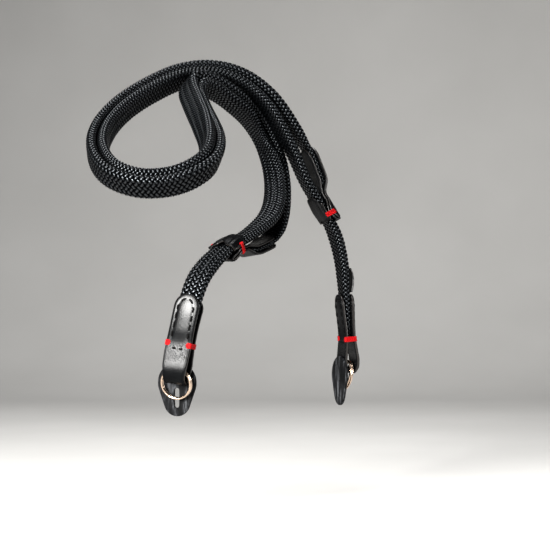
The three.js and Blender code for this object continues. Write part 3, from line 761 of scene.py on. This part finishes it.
# %% Side views and widths
TAB_LEATHER = 1.8 * MM
PETAL_RADIUS = 6.4 * MM
TAB_SIDE = [(46.7, 3.3), (40, 3.3), (30, 2.75), (20.5, 2.3), (14, 3.1), (8, 3.85), (3.5, 3.2)]
TAB_WIDTH = [(4, 6.1), (10, 6.9), (16, 7.2), (22, 7.2), (30, 7.0)]
TAB_DOME = [(0, 0), (10, 0.1), (20.5, -0.1), (27, 0.35), (38, 0.5), (47, 0.5)]
NO_DOME = [(0, 0)]
SLIDER_LEATHER = 1.3 * MM
SLIDER_INNER = [(at, 0.6) for at in (39.9, 30, 24, 20, 17, 14, 11, 4, -2, -4.4, -5.6)]
SLIDER_FOLD = [(-6.3, (0.6 + 2.3) / 2)]
SLIDER_OUTER = [(-5.6, 2.3), (-4.4, 2.4), (5, 2.2), (10, 2.15)]
SLIDER_OUTER += [(13, 3.3), (16.5, 5), (20, 5.1), (30, 5.1), (39.9, 5.4)]
SLIDER_WIDTH = [(-6.3, 6.4), (-5.7, 7.8), (-4.7, 8.9), (-3, 9.7), (0, 10)]
SLIDER_WIDTH += [(4, 9.2), (8, 7), (12, 5.6), (18, 5.9), (26, 6.4)]
SLIDER_HALF = 10 * MM
WING_FROM, WING_LIFT, WING_HALF_LENGTH = 6.6 * MM, 3 * MM, 9 * MM
SHOULDER = -CORD_SPACING / 2
EDGE_CORNER = 0.42 * MM


def tab_half(at):
    return table(TAB_WIDTH, at)


def slider_half(past):
    return table(SLIDER_WIDTH, past)


def wing_lift(past, x):
    """How far a slider's wings are lifted towards the band that sits on them."""
    part = np.clip(1 - (past / WING_HALF_LENGTH) ** 2, 0, None)
    return WING_LIFT * part * np.clip((np.abs(x) - WING_FROM) / (SLIDER_HALF - WING_FROM), 0, None)


# %% From a side view to a strip
DOME_REST = 0.45
WAVE_HEIGHT = 0.05 * MM


def strip_places(rows, samples=900):
    """Evenly spaced places on a side view, with their normals: length along, place, normal."""
    line = smooth_line(np.array(rows) * MM, samples, 0.5)
    length = lengths_along(line)
    even = np.linspace(0, length[-1], samples)
    line = np.stack([np.interp(even, length, line[:, k]) for k in range(2)], 1)
    heading = unit(np.gradient(line, axis=0))
    return even, line, np.stack([-heading[:, 1], heading[:, 0]], 1)


def on_side_view(run, even, line, normal):
    """A place on a side view and its unit normal, each as two numbers."""
    at, out = (np.interp(run, even, line[:, k]) for k in range(2))
    n_at, n_out = (np.interp(run, even, normal[:, k]) for k in range(2))
    return at, out, n_at, n_out


def unevenness(run, x):
    """Two crossed waves, each about 24 mm long, that keep leather from being as flat as a moulding."""
    return np.sin(run * 210 + x * 160) * np.sin(run * 95 - x * 240 + 1.3)


def strip(end, rows, half_at, dome, lift=None, base=0.0):
    """A folded strip's length, and functions for its half width and for a point of it in the world."""
    even, line, normal = strip_places(rows)
    radius = PETAL_RADIUS

    def half_width(run):
        half = half_at(np.interp(run, even, line[:, 0]))
        short = np.clip(radius - np.minimum(run, even[-1] - run), 0, radius)
        return np.minimum(half, half - radius + np.sqrt(radius**2 - short**2))

    def point(run, x, height):
        at, out, n_at, n_out = on_side_view(run, even, line, normal)
        size = np.hypot(n_at, n_out)
        rise = height + table(dome, at) * (DOME_REST - (x / half_at(at)) ** 2)
        rise = rise + WAVE_HEIGHT * unevenness(run, x)
        down = 0 if lift is None else lift(at, x)
        return place(end, base + at + n_at / size * rise, x, out + n_out / size * rise - down)

    return even[-1], half_width, point


# %% [markdown]
# The saddle stitches pull a shallow groove into the tab's petals, with a soft lip between the groove and
# the cut edge. It is part of the sheet's shape, since the light on the lip is what shows the stitching
# from a distance. The sheet's rows lie closer together at its round tips.

# %% Strips as sheets
STITCH_INSET = 2.5 * MM
GROOVE_END, GROOVE_FADE = 24.5 * MM, 2 * MM
GROOVE_DEPTH, GROOVE_WIDTH = 0.14 * MM, 0.75 * MM
LIP_HEIGHT, LIP_INSET, LIP_WIDTH = 0.05 * MM, 1.2 * MM, 0.6 * MM
ROW_STEP = 1.1 * MM


def tip_steps(length, radius, step):
    """Places along a strip: closer together at its round tips."""
    tip = radius * (1 - np.cos(np.radians(np.linspace(5, 90, 13))))
    inner = np.linspace(radius, length - radius, int((length - 2 * radius) / step))[1:-1]
    return np.concatenate([tip, inner, length - tip[::-1]])


def stitch_groove(inset, run, length):
    """How deep the pulled stitches press the face of a petal, with a raised lip outside them."""
    on_petal = np.clip((GROOVE_END - np.minimum(run, length - run)) / GROOVE_FADE, 0, 1)
    dip = GROOVE_DEPTH * np.exp(-(((inset - STITCH_INSET) / GROOVE_WIDTH) ** 2))
    lip = LIP_HEIGHT * np.exp(-(((inset - LIP_INSET) / LIP_WIDTH) ** 2))
    return (dip - lip) * on_petal


def strip_object(name, length, half_width, point, thickness, leather, stitched=False):
    radius = PETAL_RADIUS
    run = tip_steps(length, radius, ROW_STEP)[:, None]
    half = half_width(run)
    x = half * ACROSS_PARTS[None, :]
    short = np.clip(radius - np.minimum(run, length - run), 0, radius)
    from_tip = radius - np.hypot(short, x * radius / half_width(radius))
    inset = np.where(short > 0, from_tip, half - np.abs(x))
    inset = np.clip(np.where(np.abs(ACROSS_PARTS[None, :]) == 1, 0, inset), 0, None)
    inset = np.minimum(inset, np.minimum(run, length - run) - run[0])
    pressed = stitch_groove(inset, run, length) if stitched else 0.0
    along = np.broadcast_to(run, x.shape)
    return sheet_object(name, point, along, x, inset, thickness, EDGE_CORNER, leather, pressed)


# %% Tabs and sliders
def tab_strip(end):
    under = [(at, SHOULDER / MM - off) for at, off in TAB_SIDE]
    over = [(at, SHOULDER / MM + off) for at, off in reversed(TAB_SIDE)]
    rows = under + [(TAB_LEATHER / 2 / MM, SHOULDER / MM)] + over
    return strip(end, rows, tab_half, TAB_DOME)


def slider_strip(end):
    inner = [(past, out + splay(end, past * MM) / MM) for past, out in SLIDER_INNER]
    outer = [(past, out + splay(end, past * MM) / MM) for past, out in SLIDER_OUTER]
    return strip(end, inner + SLIDER_FOLD + outer, slider_half, NO_DOME, wing_lift, base=SLIDER_AT[end])


for end in ("left", "right"):
    piece = strip_object(f"tab_{end}", *tab_strip(end), TAB_LEATHER, TAB_FINISH, stitched=True)
    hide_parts(f"end_tab_{end}")
    piece = strip_object(f"slider_{end}", *slider_strip(end), SLIDER_LEATHER, SLIDER_FINISH)
    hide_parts(f"slider_strip_{end}")

# %% [markdown]
# ## The bands and the label
#
# A band is one sheet bent over the passing cord, with its feet on the slider's wings. Its front edge
# reaches further along the cord at the crown than at the feet, which gives the slider its hood. The
# label is a thin bowed strip that has sprung off the cord.

# %% Bands
BAND_FOOT, CROWN = 4.4 * MM, 1.0 * MM
BAND_FRONT = {"right": 13 * MM, "left": 7.5 * MM}
BAND_CORNER = 1.6 * MM
BACK_CUT, BACK_CUT_FROM = 2.2 * MM, 0.75
BULGE = {"right": 1.3 * MM, "left": 0.4 * MM}
BULGE_REST = 0.4
GAP = 0.3 * MM
WING_SEAT = 0.6 * MM - SLIDER_LEATHER / 2 - GAP - WING_LIFT
BAND_RADIUS = CORD_THICKNESS / 2 + GAP + SLIDER_LEATHER / 2
CROWN_OUT = BAND_RADIUS - SHOULDER + CROWN


def band_arch():
    """The band's side view from foot to foot, in millimetres."""
    side = CORD_WIDTH / 2 - CORD_THICKNESS / 2
    foot = WING_SEAT - SLIDER_LEATHER / 2
    turn = np.radians(np.linspace(-12, 90, 9))[1:]
    bend = [(side + BAND_RADIUS * math.cos(t), SHOULDER - BAND_RADIUS * math.sin(t)) for t in turn]
    half = [(SLIDER_HALF, foot), (side + BAND_RADIUS + 0.9 * MM, foot - 0.05 * MM)] + bend
    crown = [(0, SHOULDER - BAND_RADIUS - CROWN)]
    return np.array(half + crown + [(-x, out) for x, out in reversed(half)]) / MM


def climb(out):
    """How high a place on the band is: 0 at its feet and 1 at its crown."""
    return np.clip((WING_SEAT - out) / (CROWN_OUT + WING_SEAT), 0, 1)


def band(end):
    even, line, normal = strip_places(band_arch())
    normal = -normal if normal[len(normal) // 2, 1] > 0 else normal

    def point(run, v, height):
        x, out, n_x, n_out = on_side_view(run, even, line, normal)
        reach = (v + BAND_FOOT) / (BAND_FOOT + BAND_FRONT[end])
        height = height + BULGE[end] * climb(out) * (4 * reach * (1 - reach) - BULGE_REST)
        return place(end, SLIDER_AT[end] + v, x + n_x * height, out + n_out * height)

    length = even[-1]
    tip = np.array([0, 0.12, 0.3, 0.6, 1.0]) * MM
    between = np.linspace(BAND_CORNER, length - BAND_CORNER, 56)
    run = np.concatenate([tip, between, length - tip[::-1]])[:, None]
    rise = climb(np.interp(run, even, line[:, 1]))
    front = BAND_FOOT + (BAND_FRONT[end] - BAND_FOOT) * (1 - (1 - rise) ** 2)
    back = BAND_FOOT - BACK_CUT * np.clip((rise - BACK_CUT_FROM) / (1 - BACK_CUT_FROM), 0, 1) ** 2
    short = np.clip(BAND_CORNER - np.minimum(run, length - run), 0, BAND_CORNER)
    trim = BAND_CORNER - np.sqrt(BAND_CORNER**2 - short**2)
    v = -back + trim + (back + front - 2 * trim) * (ACROSS_PARTS[None, :] + 1) / 2
    inset = np.minimum(v + back - trim, front - trim - v)
    inset = np.clip(np.minimum(inset, np.minimum(run, length - run)), 0, None)
    along = np.broadcast_to(run, v.shape)
    piece = sheet_object(f"band_{end}", point, along, v, inset, SLIDER_LEATHER, EDGE_CORNER, SLIDER_FINISH)
    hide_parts(f"slider_band_{end}")


for end in ("left", "right"):
    band(end)

# %% The label
LABEL_LEATHER, LABEL_HALF_WIDTH, LABEL_CORNER = 0.9 * MM, 4.75 * MM, 0.3 * MM
LABEL_SIDE = [(47.6, 0.5), (50, 1.1), (54.5, 1.8), (58.5, 1.4), (61.6, 0.5)]


def label():
    cord_face = SHOULDER + CORD_THICKNESS / 2 + GAP
    rows = [(at, cord_face / MM + out) for at, out in LABEL_SIDE]
    length, _, point = strip("right", rows, lambda at: LABEL_HALF_WIDTH + 0 * at, NO_DOME)
    tip = np.array([0, 0.1, 0.25, 0.5]) * MM
    run = np.concatenate([tip, np.linspace(1 * MM, length - 1 * MM, 18), length - tip[::-1]])[:, None]
    x = LABEL_HALF_WIDTH * ACROSS_PARTS[None, :] + 0 * run
    inset = np.minimum(LABEL_HALF_WIDTH - np.abs(x), np.minimum(run, length - run))
    along = np.broadcast_to(run, x.shape)
    piece = sheet_object("label", point, along, x, inset, LABEL_LEATHER, LABEL_CORNER, LABEL_FINISH)
    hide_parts("label_patch")


label()

# %% [markdown]
# ## Threads
#
# Two threads hold the leather: black waxed thread in short saddle stitches round each petal of a tab, and
# bright red waxed thread wound six times round each side edge of the tabs and sliders. A thread is a
# closed round tube, and diagonal bands stand for its twist: a bump gives their relief, and their darker
# part is painted shade in the grooves between the plies. Its ends go down into the leather, as they do
# through the awl's holes, so no end shows.


# %% Thread finishes
def waxed_thread(name, painted_groove_shade, light, roughness, gloss):
    material = new_material(name, light, roughness, Specular_IOR_Level=gloss)
    where = surface_coordinates(material, (1.0, 1.0, 1.0))
    settings, inputs = {"bands_direction": "DIAGONAL"}, {"Scale": 0.55, "Distortion": 0.4, "Detail": 1.0}
    twist = node(material, "ShaderNodeTexWave", settings, Vector=where, **inputs).outputs["Fac"]
    # The twist's darker stop is painted shade in the grooves between the plies.
    link(material, ramp(material, twist, [(0.15, painted_groove_shade), (0.7, light)]), "Base Color")
    link(material, bump(material, twist, 0.5, 0.06 * MM), "Normal")
    return material


RED_THREAD = waxed_thread("red_thread", (0.13, 0.001, 0.0018), (0.36, 0.0035, 0.005), 0.45, 0.06)
BLACK_THREAD = waxed_thread("black_thread", (0.0006, 0.0006, 0.0006), (0.0025, 0.0023, 0.0023), 0.7, 0.04)
print("threads:", RED_THREAD.name, BLACK_THREAD.name)

# %% One mesh of many threads
THREAD_SIDES = 8


def thread_object(name, paths, radius, material, replaced=()):
    parts, maps = [], []
    for path in paths:
        parts.append(tube(path, radius, THREAD_SIDES))
        run = np.repeat(lengths_along(np.asarray(path)), THREAD_SIDES) / MM
        around = np.tile(np.arange(THREAD_SIDES), len(path)) * 2.0 / THREAD_SIDES
        maps.append(np.stack([run, around], 1))
    points, faces = joined(parts)
    piece = make_object(name, points, faces, [material], None, np.vstack(maps))
    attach(piece, "root")
    if replaced:
        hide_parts(*replaced)
    print(name, "has", len(paths), "lengths of thread and", triangles(faces), "triangles")


# %% [markdown]
# The stitch line runs at one distance inside the petal's outline, up one side, round the tip and down
# the other. Two more stitches cross the tab just below the whippings, where the fold is closed. A stitch
# lies on the leather for most of its length and dives steeply at both ends.

# %% Stitch lines
STITCH_PITCH, STITCH_LENGTH = 4.8 * MM, 2.9 * MM
STITCH_RADIUS = 0.58 * MM
STITCHES_FROM = 23.2 * MM
CROSS_STITCH_AT, CROSS_STITCH_SIDE, CROSS_STITCH_LENGTH = 28.3 * MM, 1.9 * MM, 2.0 * MM


def petal_line(length, half_width, from_start):
    """Places (run, x) along the stitch line of one petal, from its side at first round to the other."""
    radius = PETAL_RADIUS - STITCH_INSET
    side = np.linspace(STITCHES_FROM, PETAL_RADIUS, 40)
    turn = np.radians(np.linspace(0, 180, 41))[1:-1]
    runs = np.concatenate([side, PETAL_RADIUS - radius * np.sin(turn), side[::-1]])
    x_side = half_width(side) - STITCH_INSET
    x = np.concatenate([x_side, radius * np.cos(turn), -x_side[::-1]])
    return (runs if from_start else length - runs), x


def stitch(point, run, across, sunk, dive):
    """One thread over the tab's face: sunk a little in the middle, and by dive at its ends."""
    arch = -sunk - dive * np.abs(np.linspace(-1, 1, 9)) ** 5
    return point(run, across, TAB_LEATHER / 2 + arch)


def petal_stitches(point, runs, x):
    """Evenly spaced stitches along a stitch line."""
    length = np.concatenate([[0], np.cumsum(np.hypot(np.diff(runs), np.diff(x)))])
    count = int(round(length[-1] / STITCH_PITCH))
    paths = []
    for k in range(count):
        spots = (k + 0.5) * length[-1] / count + np.linspace(-0.5, 0.5, 9) * STITCH_LENGTH
        run, across = np.interp(spots, length, runs), np.interp(spots, length, x)
        paths.append(stitch(point, run, across, 0.02 * MM, 0.8 * MM))
    return paths


# %% Saddle stitches
for end in ("left", "right"):
    length, half_width, point = tab_strip(end)
    paths = []
    for from_start in (True, False):
        paths += petal_stitches(point, *petal_line(length, half_width, from_start))
        run = CROSS_STITCH_AT if from_start else length - CROSS_STITCH_AT
        for side in (-1, 1):
            across = side * CROSS_STITCH_SIDE + np.linspace(-0.5, 0.5, 9) * CROSS_STITCH_LENGTH
            paths.append(stitch(point, run + 0 * across, across, 0.05 * MM, 0.7 * MM))
    thread_object(f"tab_stitches_{end}", paths, STITCH_RADIUS, BLACK_THREAD)

# %% [markdown]
# A whipping's turns follow a C round the side edge of the stacked leather and lie against each other.
# The middle turns reach further in than the outer ones, which rounds the whipping's inner end, and each
# turn differs a little from its neighbours. The right tab's whippings stand about half a millimetre
# closer to the cord than the solids' do.

# %% Red whippings
WHIPPING_TURNS, TURN_PITCH, THREAD_RADIUS = 6, 0.47 * MM, 0.27 * MM
TAB_WHIPPING_AT = {"right": 20.5 * MM, "left": 20.9 * MM}
SLIDER_WHIPPING = {"right": -0.8 * MM, "left": 1.2 * MM}
DRAW_IN = 0.6 * MM
TURN_SHAKE, TURN_SHIFT = 0.05 * MM, 0.03 * MM
TAB_REACH, SLIDER_REACH = 2.9 * MM, 1.6 * MM
ON_FACE, ROUND_EDGE = THREAD_RADIUS * 0.8, THREAD_RADIUS * 0.9


def rounded(corners, radius, steps=5):
    """A path through corners with each inner corner rounded."""
    path = [corners[0]]
    for before, here, after in zip(corners, corners[1:], corners[2:]):
        back, ahead = before - here, after - here
        reach = min(radius, 0.45 * np.linalg.norm(back), 0.45 * np.linalg.norm(ahead))
        start, stop = here + unit(back) * reach, here + unit(ahead) * reach
        for t in np.linspace(0, 1, steps):
            path.append((1 - t) ** 2 * start + 2 * t * (1 - t) * here + t**2 * stop)
    return np.array(path + [corners[-1]])


def turn_corners(along, reach, edge, low, high_in, high_edge, sink):
    """The C's corners as rows of across, out and along; both its ends sink into the leather."""
    return [
        (reach, low + sink, along),
        (reach + 0.1 * MM, low, along),
        (edge, low, along),
        (edge, high_edge, along),
        (reach + 0.1 * MM, high_in, along),
        (reach, high_in - sink, along),
    ]


def whipping_paths(end, side, at, corner_table, chance):
    """corner_table(along, draw_in) gives the corners of one turn."""
    paths = []
    for k in range(WHIPPING_TURNS):
        along = at + (k - (WHIPPING_TURNS - 1) / 2) * TURN_PITCH
        draw_in = DRAW_IN * (2 * k / (WHIPPING_TURNS - 1) - 1) ** 2
        corners = np.array(corner_table(along, draw_in), dtype=float)
        corners[:, 2] += chance.normal(0, TURN_SHAKE, len(corners))
        path = rounded(corners, 0.7 * MM)
        path[:, 0] += chance.normal(0, TURN_SHIFT)
        paths.append(place(end, path[:, 2], side * path[:, 0], path[:, 1]))
    return paths


# %% Where the turns go round a tab and a slider
def tab_corners(along, draw_in):
    half = table(TAB_SIDE, along) + TAB_LEATHER / 2 + ON_FACE
    edge = table(TAB_WIDTH, along) + ROUND_EDGE
    reach = edge - TAB_REACH + draw_in
    return turn_corners(along, reach, edge, SHOULDER - half, SHOULDER + half, SHOULDER + half, 1.0 * MM)


def slider_corners(end):
    def corners(along, draw_in):
        past = along - SLIDER_AT[end]
        edge = table(SLIDER_WIDTH, past) + ROUND_EDGE
        reach = edge - SLIDER_REACH + draw_in
        low = WING_SEAT - SLIDER_LEATHER - ON_FACE
        top = 2.4 * MM + SLIDER_LEATHER / 2 + ON_FACE
        high_in, high_edge = top - float(wing_lift(past, reach)), top - float(wing_lift(past, edge))
        return turn_corners(along, reach, edge, low, high_in, high_edge, 0.9 * MM)

    return corners


for number, end in enumerate(("left", "right")):
    chance = np.random.default_rng(70 + number)
    for side, name in ((1, "near"), (-1, "far")):
        rows = [
            ("tab", TAB_WHIPPING_AT[end], tab_corners),
            ("slider", SLIDER_AT[end] + SLIDER_WHIPPING[end], slider_corners(end)),
        ]
        for part, at, corners in rows:
            paths = whipping_paths(end, side, at, corners, chance)
            made, solids = f"{part}_red_{end}_{name}", [f"{part}_whipping_{end}_{name}"]
            thread_object(made, paths, THREAD_RADIUS, RED_THREAD, solids)

# %% [markdown]
# ## Rings and protectors
#
# A split ring is nearly two turns of polished wire in a pale rose-gold tone, so it is made as one smooth
# coil whose round wire catches a thin bright line. A protector is a flat teardrop of dull leather with a
# slot for the lug. Both sit in the lug's own directions, which are turned twenty-five degrees to each
# side.

# %% The lug's directions
LUG_SPACING, LUG_TURN = 126 * MM, 25
RING_CENTRE = 8 * MM


def lug_place(end, points):
    """World points from (sideways, outward, up) at a lug."""
    side = 1 if end == "right" else -1
    turn = math.radians(side * -90 - side * LUG_TURN)
    points = np.asarray(points, dtype=float)
    x = points[..., 0] * math.cos(turn) - points[..., 1] * math.sin(turn)
    y = points[..., 0] * math.sin(turn) + points[..., 1] * math.cos(turn)
    return np.stack([x + side * LUG_SPACING / 2, y, points[..., 2]], axis=-1)


# %% Ring metal
def ring_metal():
    material = new_material("ring_metal", (0.78, 0.62, 0.5), 0.2, Metallic=1.0)
    scratch = noise(material, object_coordinates(material, (900, 900, 900)), 1.0, 4.0)
    dull = noise(material, object_coordinates(material), 240.0)
    link(material, ramp(material, dull, [(0.3, (0.5, 0.37, 0.28)), (0.7, (0.7, 0.55, 0.43))]), "Base Color")
    link(material, ramp(material, scratch, [(0.3, 0.14), (0.7, 0.3)]), "Roughness")
    link(material, bump(material, scratch, 0.12, 0.03 * MM), "Normal")
    return material


RING_FINISH = ring_metal()
print("metal:", RING_FINISH.name)

# %% Split rings
RING_OUTER, RING_WIRE = 8.9 * MM, 0.64 * MM
RING_LEAN = math.radians(11.5)
RING_STAND, RING_SLIP = 3.65 * MM, -1.5 * MM
RING_TURNS, RING_STEPS, RING_SIDES = 1.96, 150, 14


def split_ring(end):
    pitch = 2 * RING_WIRE + 0.05 * MM
    radius = RING_OUTER - RING_WIRE
    part = np.linspace(0, 1, RING_STEPS + 1)
    angle = 2 * math.pi * RING_TURNS * part
    x, y, z = radius * np.sin(angle), pitch * RING_TURNS * (part - 0.5), radius * np.cos(angle)
    leant_y = y * math.cos(RING_LEAN) + z * math.sin(RING_LEAN)
    leant_z = z * math.cos(RING_LEAN) - y * math.sin(RING_LEAN)
    out = RING_STAND + radius * math.sin(RING_LEAN)
    path = lug_place(end, np.stack([x + RING_SLIP, leant_y + out, leant_z + RING_CENTRE], 1))
    points, faces = tube(path, RING_WIRE, RING_SIDES)
    piece = make_object(f"ring_{end}", points, faces, [RING_FINISH])
    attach(piece, "root")
    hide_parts(f"split_ring_{end}")
    print(piece.name, "has", triangles(faces), "triangles")


print("a ring is", round(2 * RING_OUTER / MM, 1), "mm across, of", round(2 * RING_WIRE / MM, 2), "mm wire")

# %% [markdown]
# The protector is built from its outline, which is a large round top, a smaller round foot and two
# straight flanks. Rays from the slot's middle meet the outline and the slot in pairs of points, and
# rings of faces fill the leather between them. The first and last rings are close together and fall
# away, which rounds the cut edges, and the rings between are flat.

# %% The protector's outline
PROTECTOR_LEATHER, PROTECTOR_CORNER = 1.5 * MM, 0.4 * MM
TOP_RADIUS, FOOT_RADIUS, FOOT_BELOW = 11 * MM, 7.5 * MM, 17.8 * MM
SLOT_WIDTH, SLOT_HEIGHT = 2.8 * MM, 10.5 * MM
RAYS, RAY_LENGTH, RAY_STEPS = 96, 30 * MM, 1501


def last_inside(spot, inside):
    return spot[len(inside) - 1 - np.argmax(inside[::-1])]


def teardrop():
    """Points round the protector's outline, and as many round its slot."""
    drop = FOOT_BELOW - FOOT_RADIUS
    lean = math.asin((TOP_RADIUS - FOOT_RADIUS) / drop)
    slot_half = SLOT_WIDTH / 2
    straight = SLOT_HEIGHT / 2 - slot_half
    slot_middle = np.array([0.0, -RING_CENTRE])
    outer, inner = [], []
    for angle in np.linspace(0, 2 * math.pi, RAYS, endpoint=False):
        ray = np.array([math.sin(angle), math.cos(angle)])
        spot = slot_middle + ray * np.linspace(0, RAY_LENGTH, RAY_STEPS)[:, None]
        side, up = np.abs(spot[:, 0]), spot[:, 1]
        in_top = np.hypot(side, up) < TOP_RADIUS
        in_foot = np.hypot(side, up + drop) < FOOT_RADIUS
        along = -side * math.sin(lean) - up * math.cos(lean)
        out = side * math.cos(lean) - up * math.sin(lean)
        in_flank = (along > 0) & (along < drop * math.cos(lean)) & (out < TOP_RADIUS)
        outer.append(last_inside(spot, in_top | in_foot | in_flank))
        near = np.clip(up - slot_middle[1], -straight, straight) + slot_middle[1]
        inner.append(last_inside(spot, np.hypot(side, up - near) < slot_half))
    return np.array(outer), np.array(inner)


# %% Protectors
CORNER_PARTS = (0.0, 0.12, 0.3, 0.65, 1.0)
FLAT_PARTS = (0.2, 0.4, 0.6, 0.8)


def protector(end):
    outer, inner = teardrop()
    corner, half = PROTECTOR_CORNER, PROTECTOR_LEATHER / 2
    toward = unit(inner - outer)
    span = np.linalg.norm(inner - outer, axis=1)[:, None]
    rings = [(outer + toward * part * corner, part * corner) for part in CORNER_PARTS]
    rings += [(outer + toward * (corner + (span - 2 * corner) * part), corner) for part in FLAT_PARTS]
    rings += [(inner - toward * part * corner, part * corner) for part in reversed(CORNER_PARTS)]
    layers = {1: [], -1: []}
    for flat, inset in rings:
        rise = half - corner + math.sqrt(corner**2 - (corner - inset) ** 2)
        for side, layer in layers.items():
            layer.append(np.column_stack([flat[:, 0], np.full(RAYS, half + side * rise), flat[:, 1]]))
    around = layers[1] + layers[-1][::-1]
    points = np.vstack(around)
    points[:, 2] += RING_CENTRE
    first, last = np.arange(RAYS), (len(around) - 1) * RAYS + np.arange(RAYS)
    closing = np.stack([last, np.roll(last, -1), np.roll(first, -1), first], 1)
    faces = [np.vstack([grid_faces(len(around), RAYS, True), closing])]
    surface = points[:, [0, 2]] / MM
    world = lug_place(end, points)
    piece = make_object(f"protector_{end}", world, faces, [PROTECTOR_FINISH], None, surface)
    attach(piece, "root")
    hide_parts(f"ring_protector_{end}")
    print(piece.name, "is", round(float(np.ptp(points[:, 2])) / MM, 1), "mm tall")


# %% Make rings and protectors
for end in ("left", "right"):
    split_ring(end)
    protector(end)

# %% [markdown]
# ## Floor and light
#
# The strap is held up by the camera's lugs, so the floor is where the camera would stand. It is plain
# and pale and curves up behind, so no horizon crosses the strap. Black yarn and leather show only their
# gloss, so each lamp is there for one gloss: a low key lamp on the left draws the sheen on the tab and
# the dashes on the curl, a weak fill from the right keeps the right cord readable, and a lamp overhead
# lights the arc and the floor. The first two have a narrowed spread, as if with a grid, which keeps
# most of their light off the floor.

# %% Floor and backdrop
FLOOR_HEIGHT = -0.061
FLOOR_FRONT, FLOOR_HALF_WIDTH, BACKDROP_HEIGHT = -1.6, 3.0, 2.6
SWEEP_START, SWEEP_RADIUS = 0.9, 0.5


def studio_floor():
    material = new_material("studio_floor", (0.4, 0.395, 0.385), 0.9, Specular_IOR_Level=0.1)
    grain = noise(material, object_coordinates(material), 6.0, 4.0)
    tone = ramp(material, grain, [(0.3, (0.385, 0.38, 0.37)), (0.7, (0.415, 0.41, 0.4))])
    link(material, tone, "Base Color")
    profile = [(FLOOR_FRONT, FLOOR_HEIGHT), (SWEEP_START, FLOOR_HEIGHT)]
    for turn in np.linspace(0, math.pi / 2, 17)[1:]:
        rise = SWEEP_RADIUS * (1 - math.cos(turn))
        profile.append((SWEEP_START + SWEEP_RADIUS * math.sin(turn), FLOOR_HEIGHT + rise))
    profile.append((SWEEP_START + SWEEP_RADIUS, FLOOR_HEIGHT + BACKDROP_HEIGHT))
    ahead = np.array([math.sin(math.radians(CAMERA_TURN)), math.cos(math.radians(CAMERA_TURN)), 0])
    side = np.array([ahead[1], -ahead[0], 0])
    points = [
        ahead * away + side * x + np.array([0, 0, z])
        for away, z in profile
        for x in (-FLOOR_HALF_WIDTH, FLOOR_HALF_WIDTH)
    ]
    make_object("studio_floor", points, [grid_faces(len(profile), 2)], [material])


studio_floor()
print("floor at", FLOOR_HEIGHT, "m")

# %% Lights
STRAP_MIDDLE = (0, 0, 0.09)
WIDE, GRIDDED = 180, 90


def lamp(name, place_at, size, power, spread, color=(1, 1, 1)):
    """A rectangular lamp that faces the strap's middle."""
    data = bpy.data.lights.new(name, "AREA")
    data.shape = "RECTANGLE"
    data.size, data.size_y = size
    data.energy = power
    data.spread = math.radians(spread)
    data.color = color
    made = bpy.data.objects.new(name, data)
    made.location = place_at
    made.rotation_mode = "QUATERNION"
    made.rotation_quaternion = (Vector(STRAP_MIDDLE) - Vector(place_at)).to_track_quat("-Z", "Y")
    bpy.context.scene.collection.objects.link(made)


lamp("key", (-0.9, -0.18, 0.34), (0.4, 0.5), 14, GRIDDED, (1.0, 0.99, 0.97))
lamp("fill", (0.5, -0.95, 0.35), (0.4, 0.5), 3.5, GRIDDED)
lamp("top", (-0.05, 0.1, 1.1), (0.5, 0.5), 16, WIDE)

studio = bpy.data.worlds.new("studio")
studio.use_nodes = True
background = studio.node_tree.nodes["Background"]
background.inputs["Color"].default_value = (0.8, 0.8, 0.82, 1)
background.inputs["Strength"].default_value = 0.05
bpy.context.scene.world = studio
bpy.context.scene.view_settings.view_transform = "Standard"
print("three soft lamps and a dim grey world")
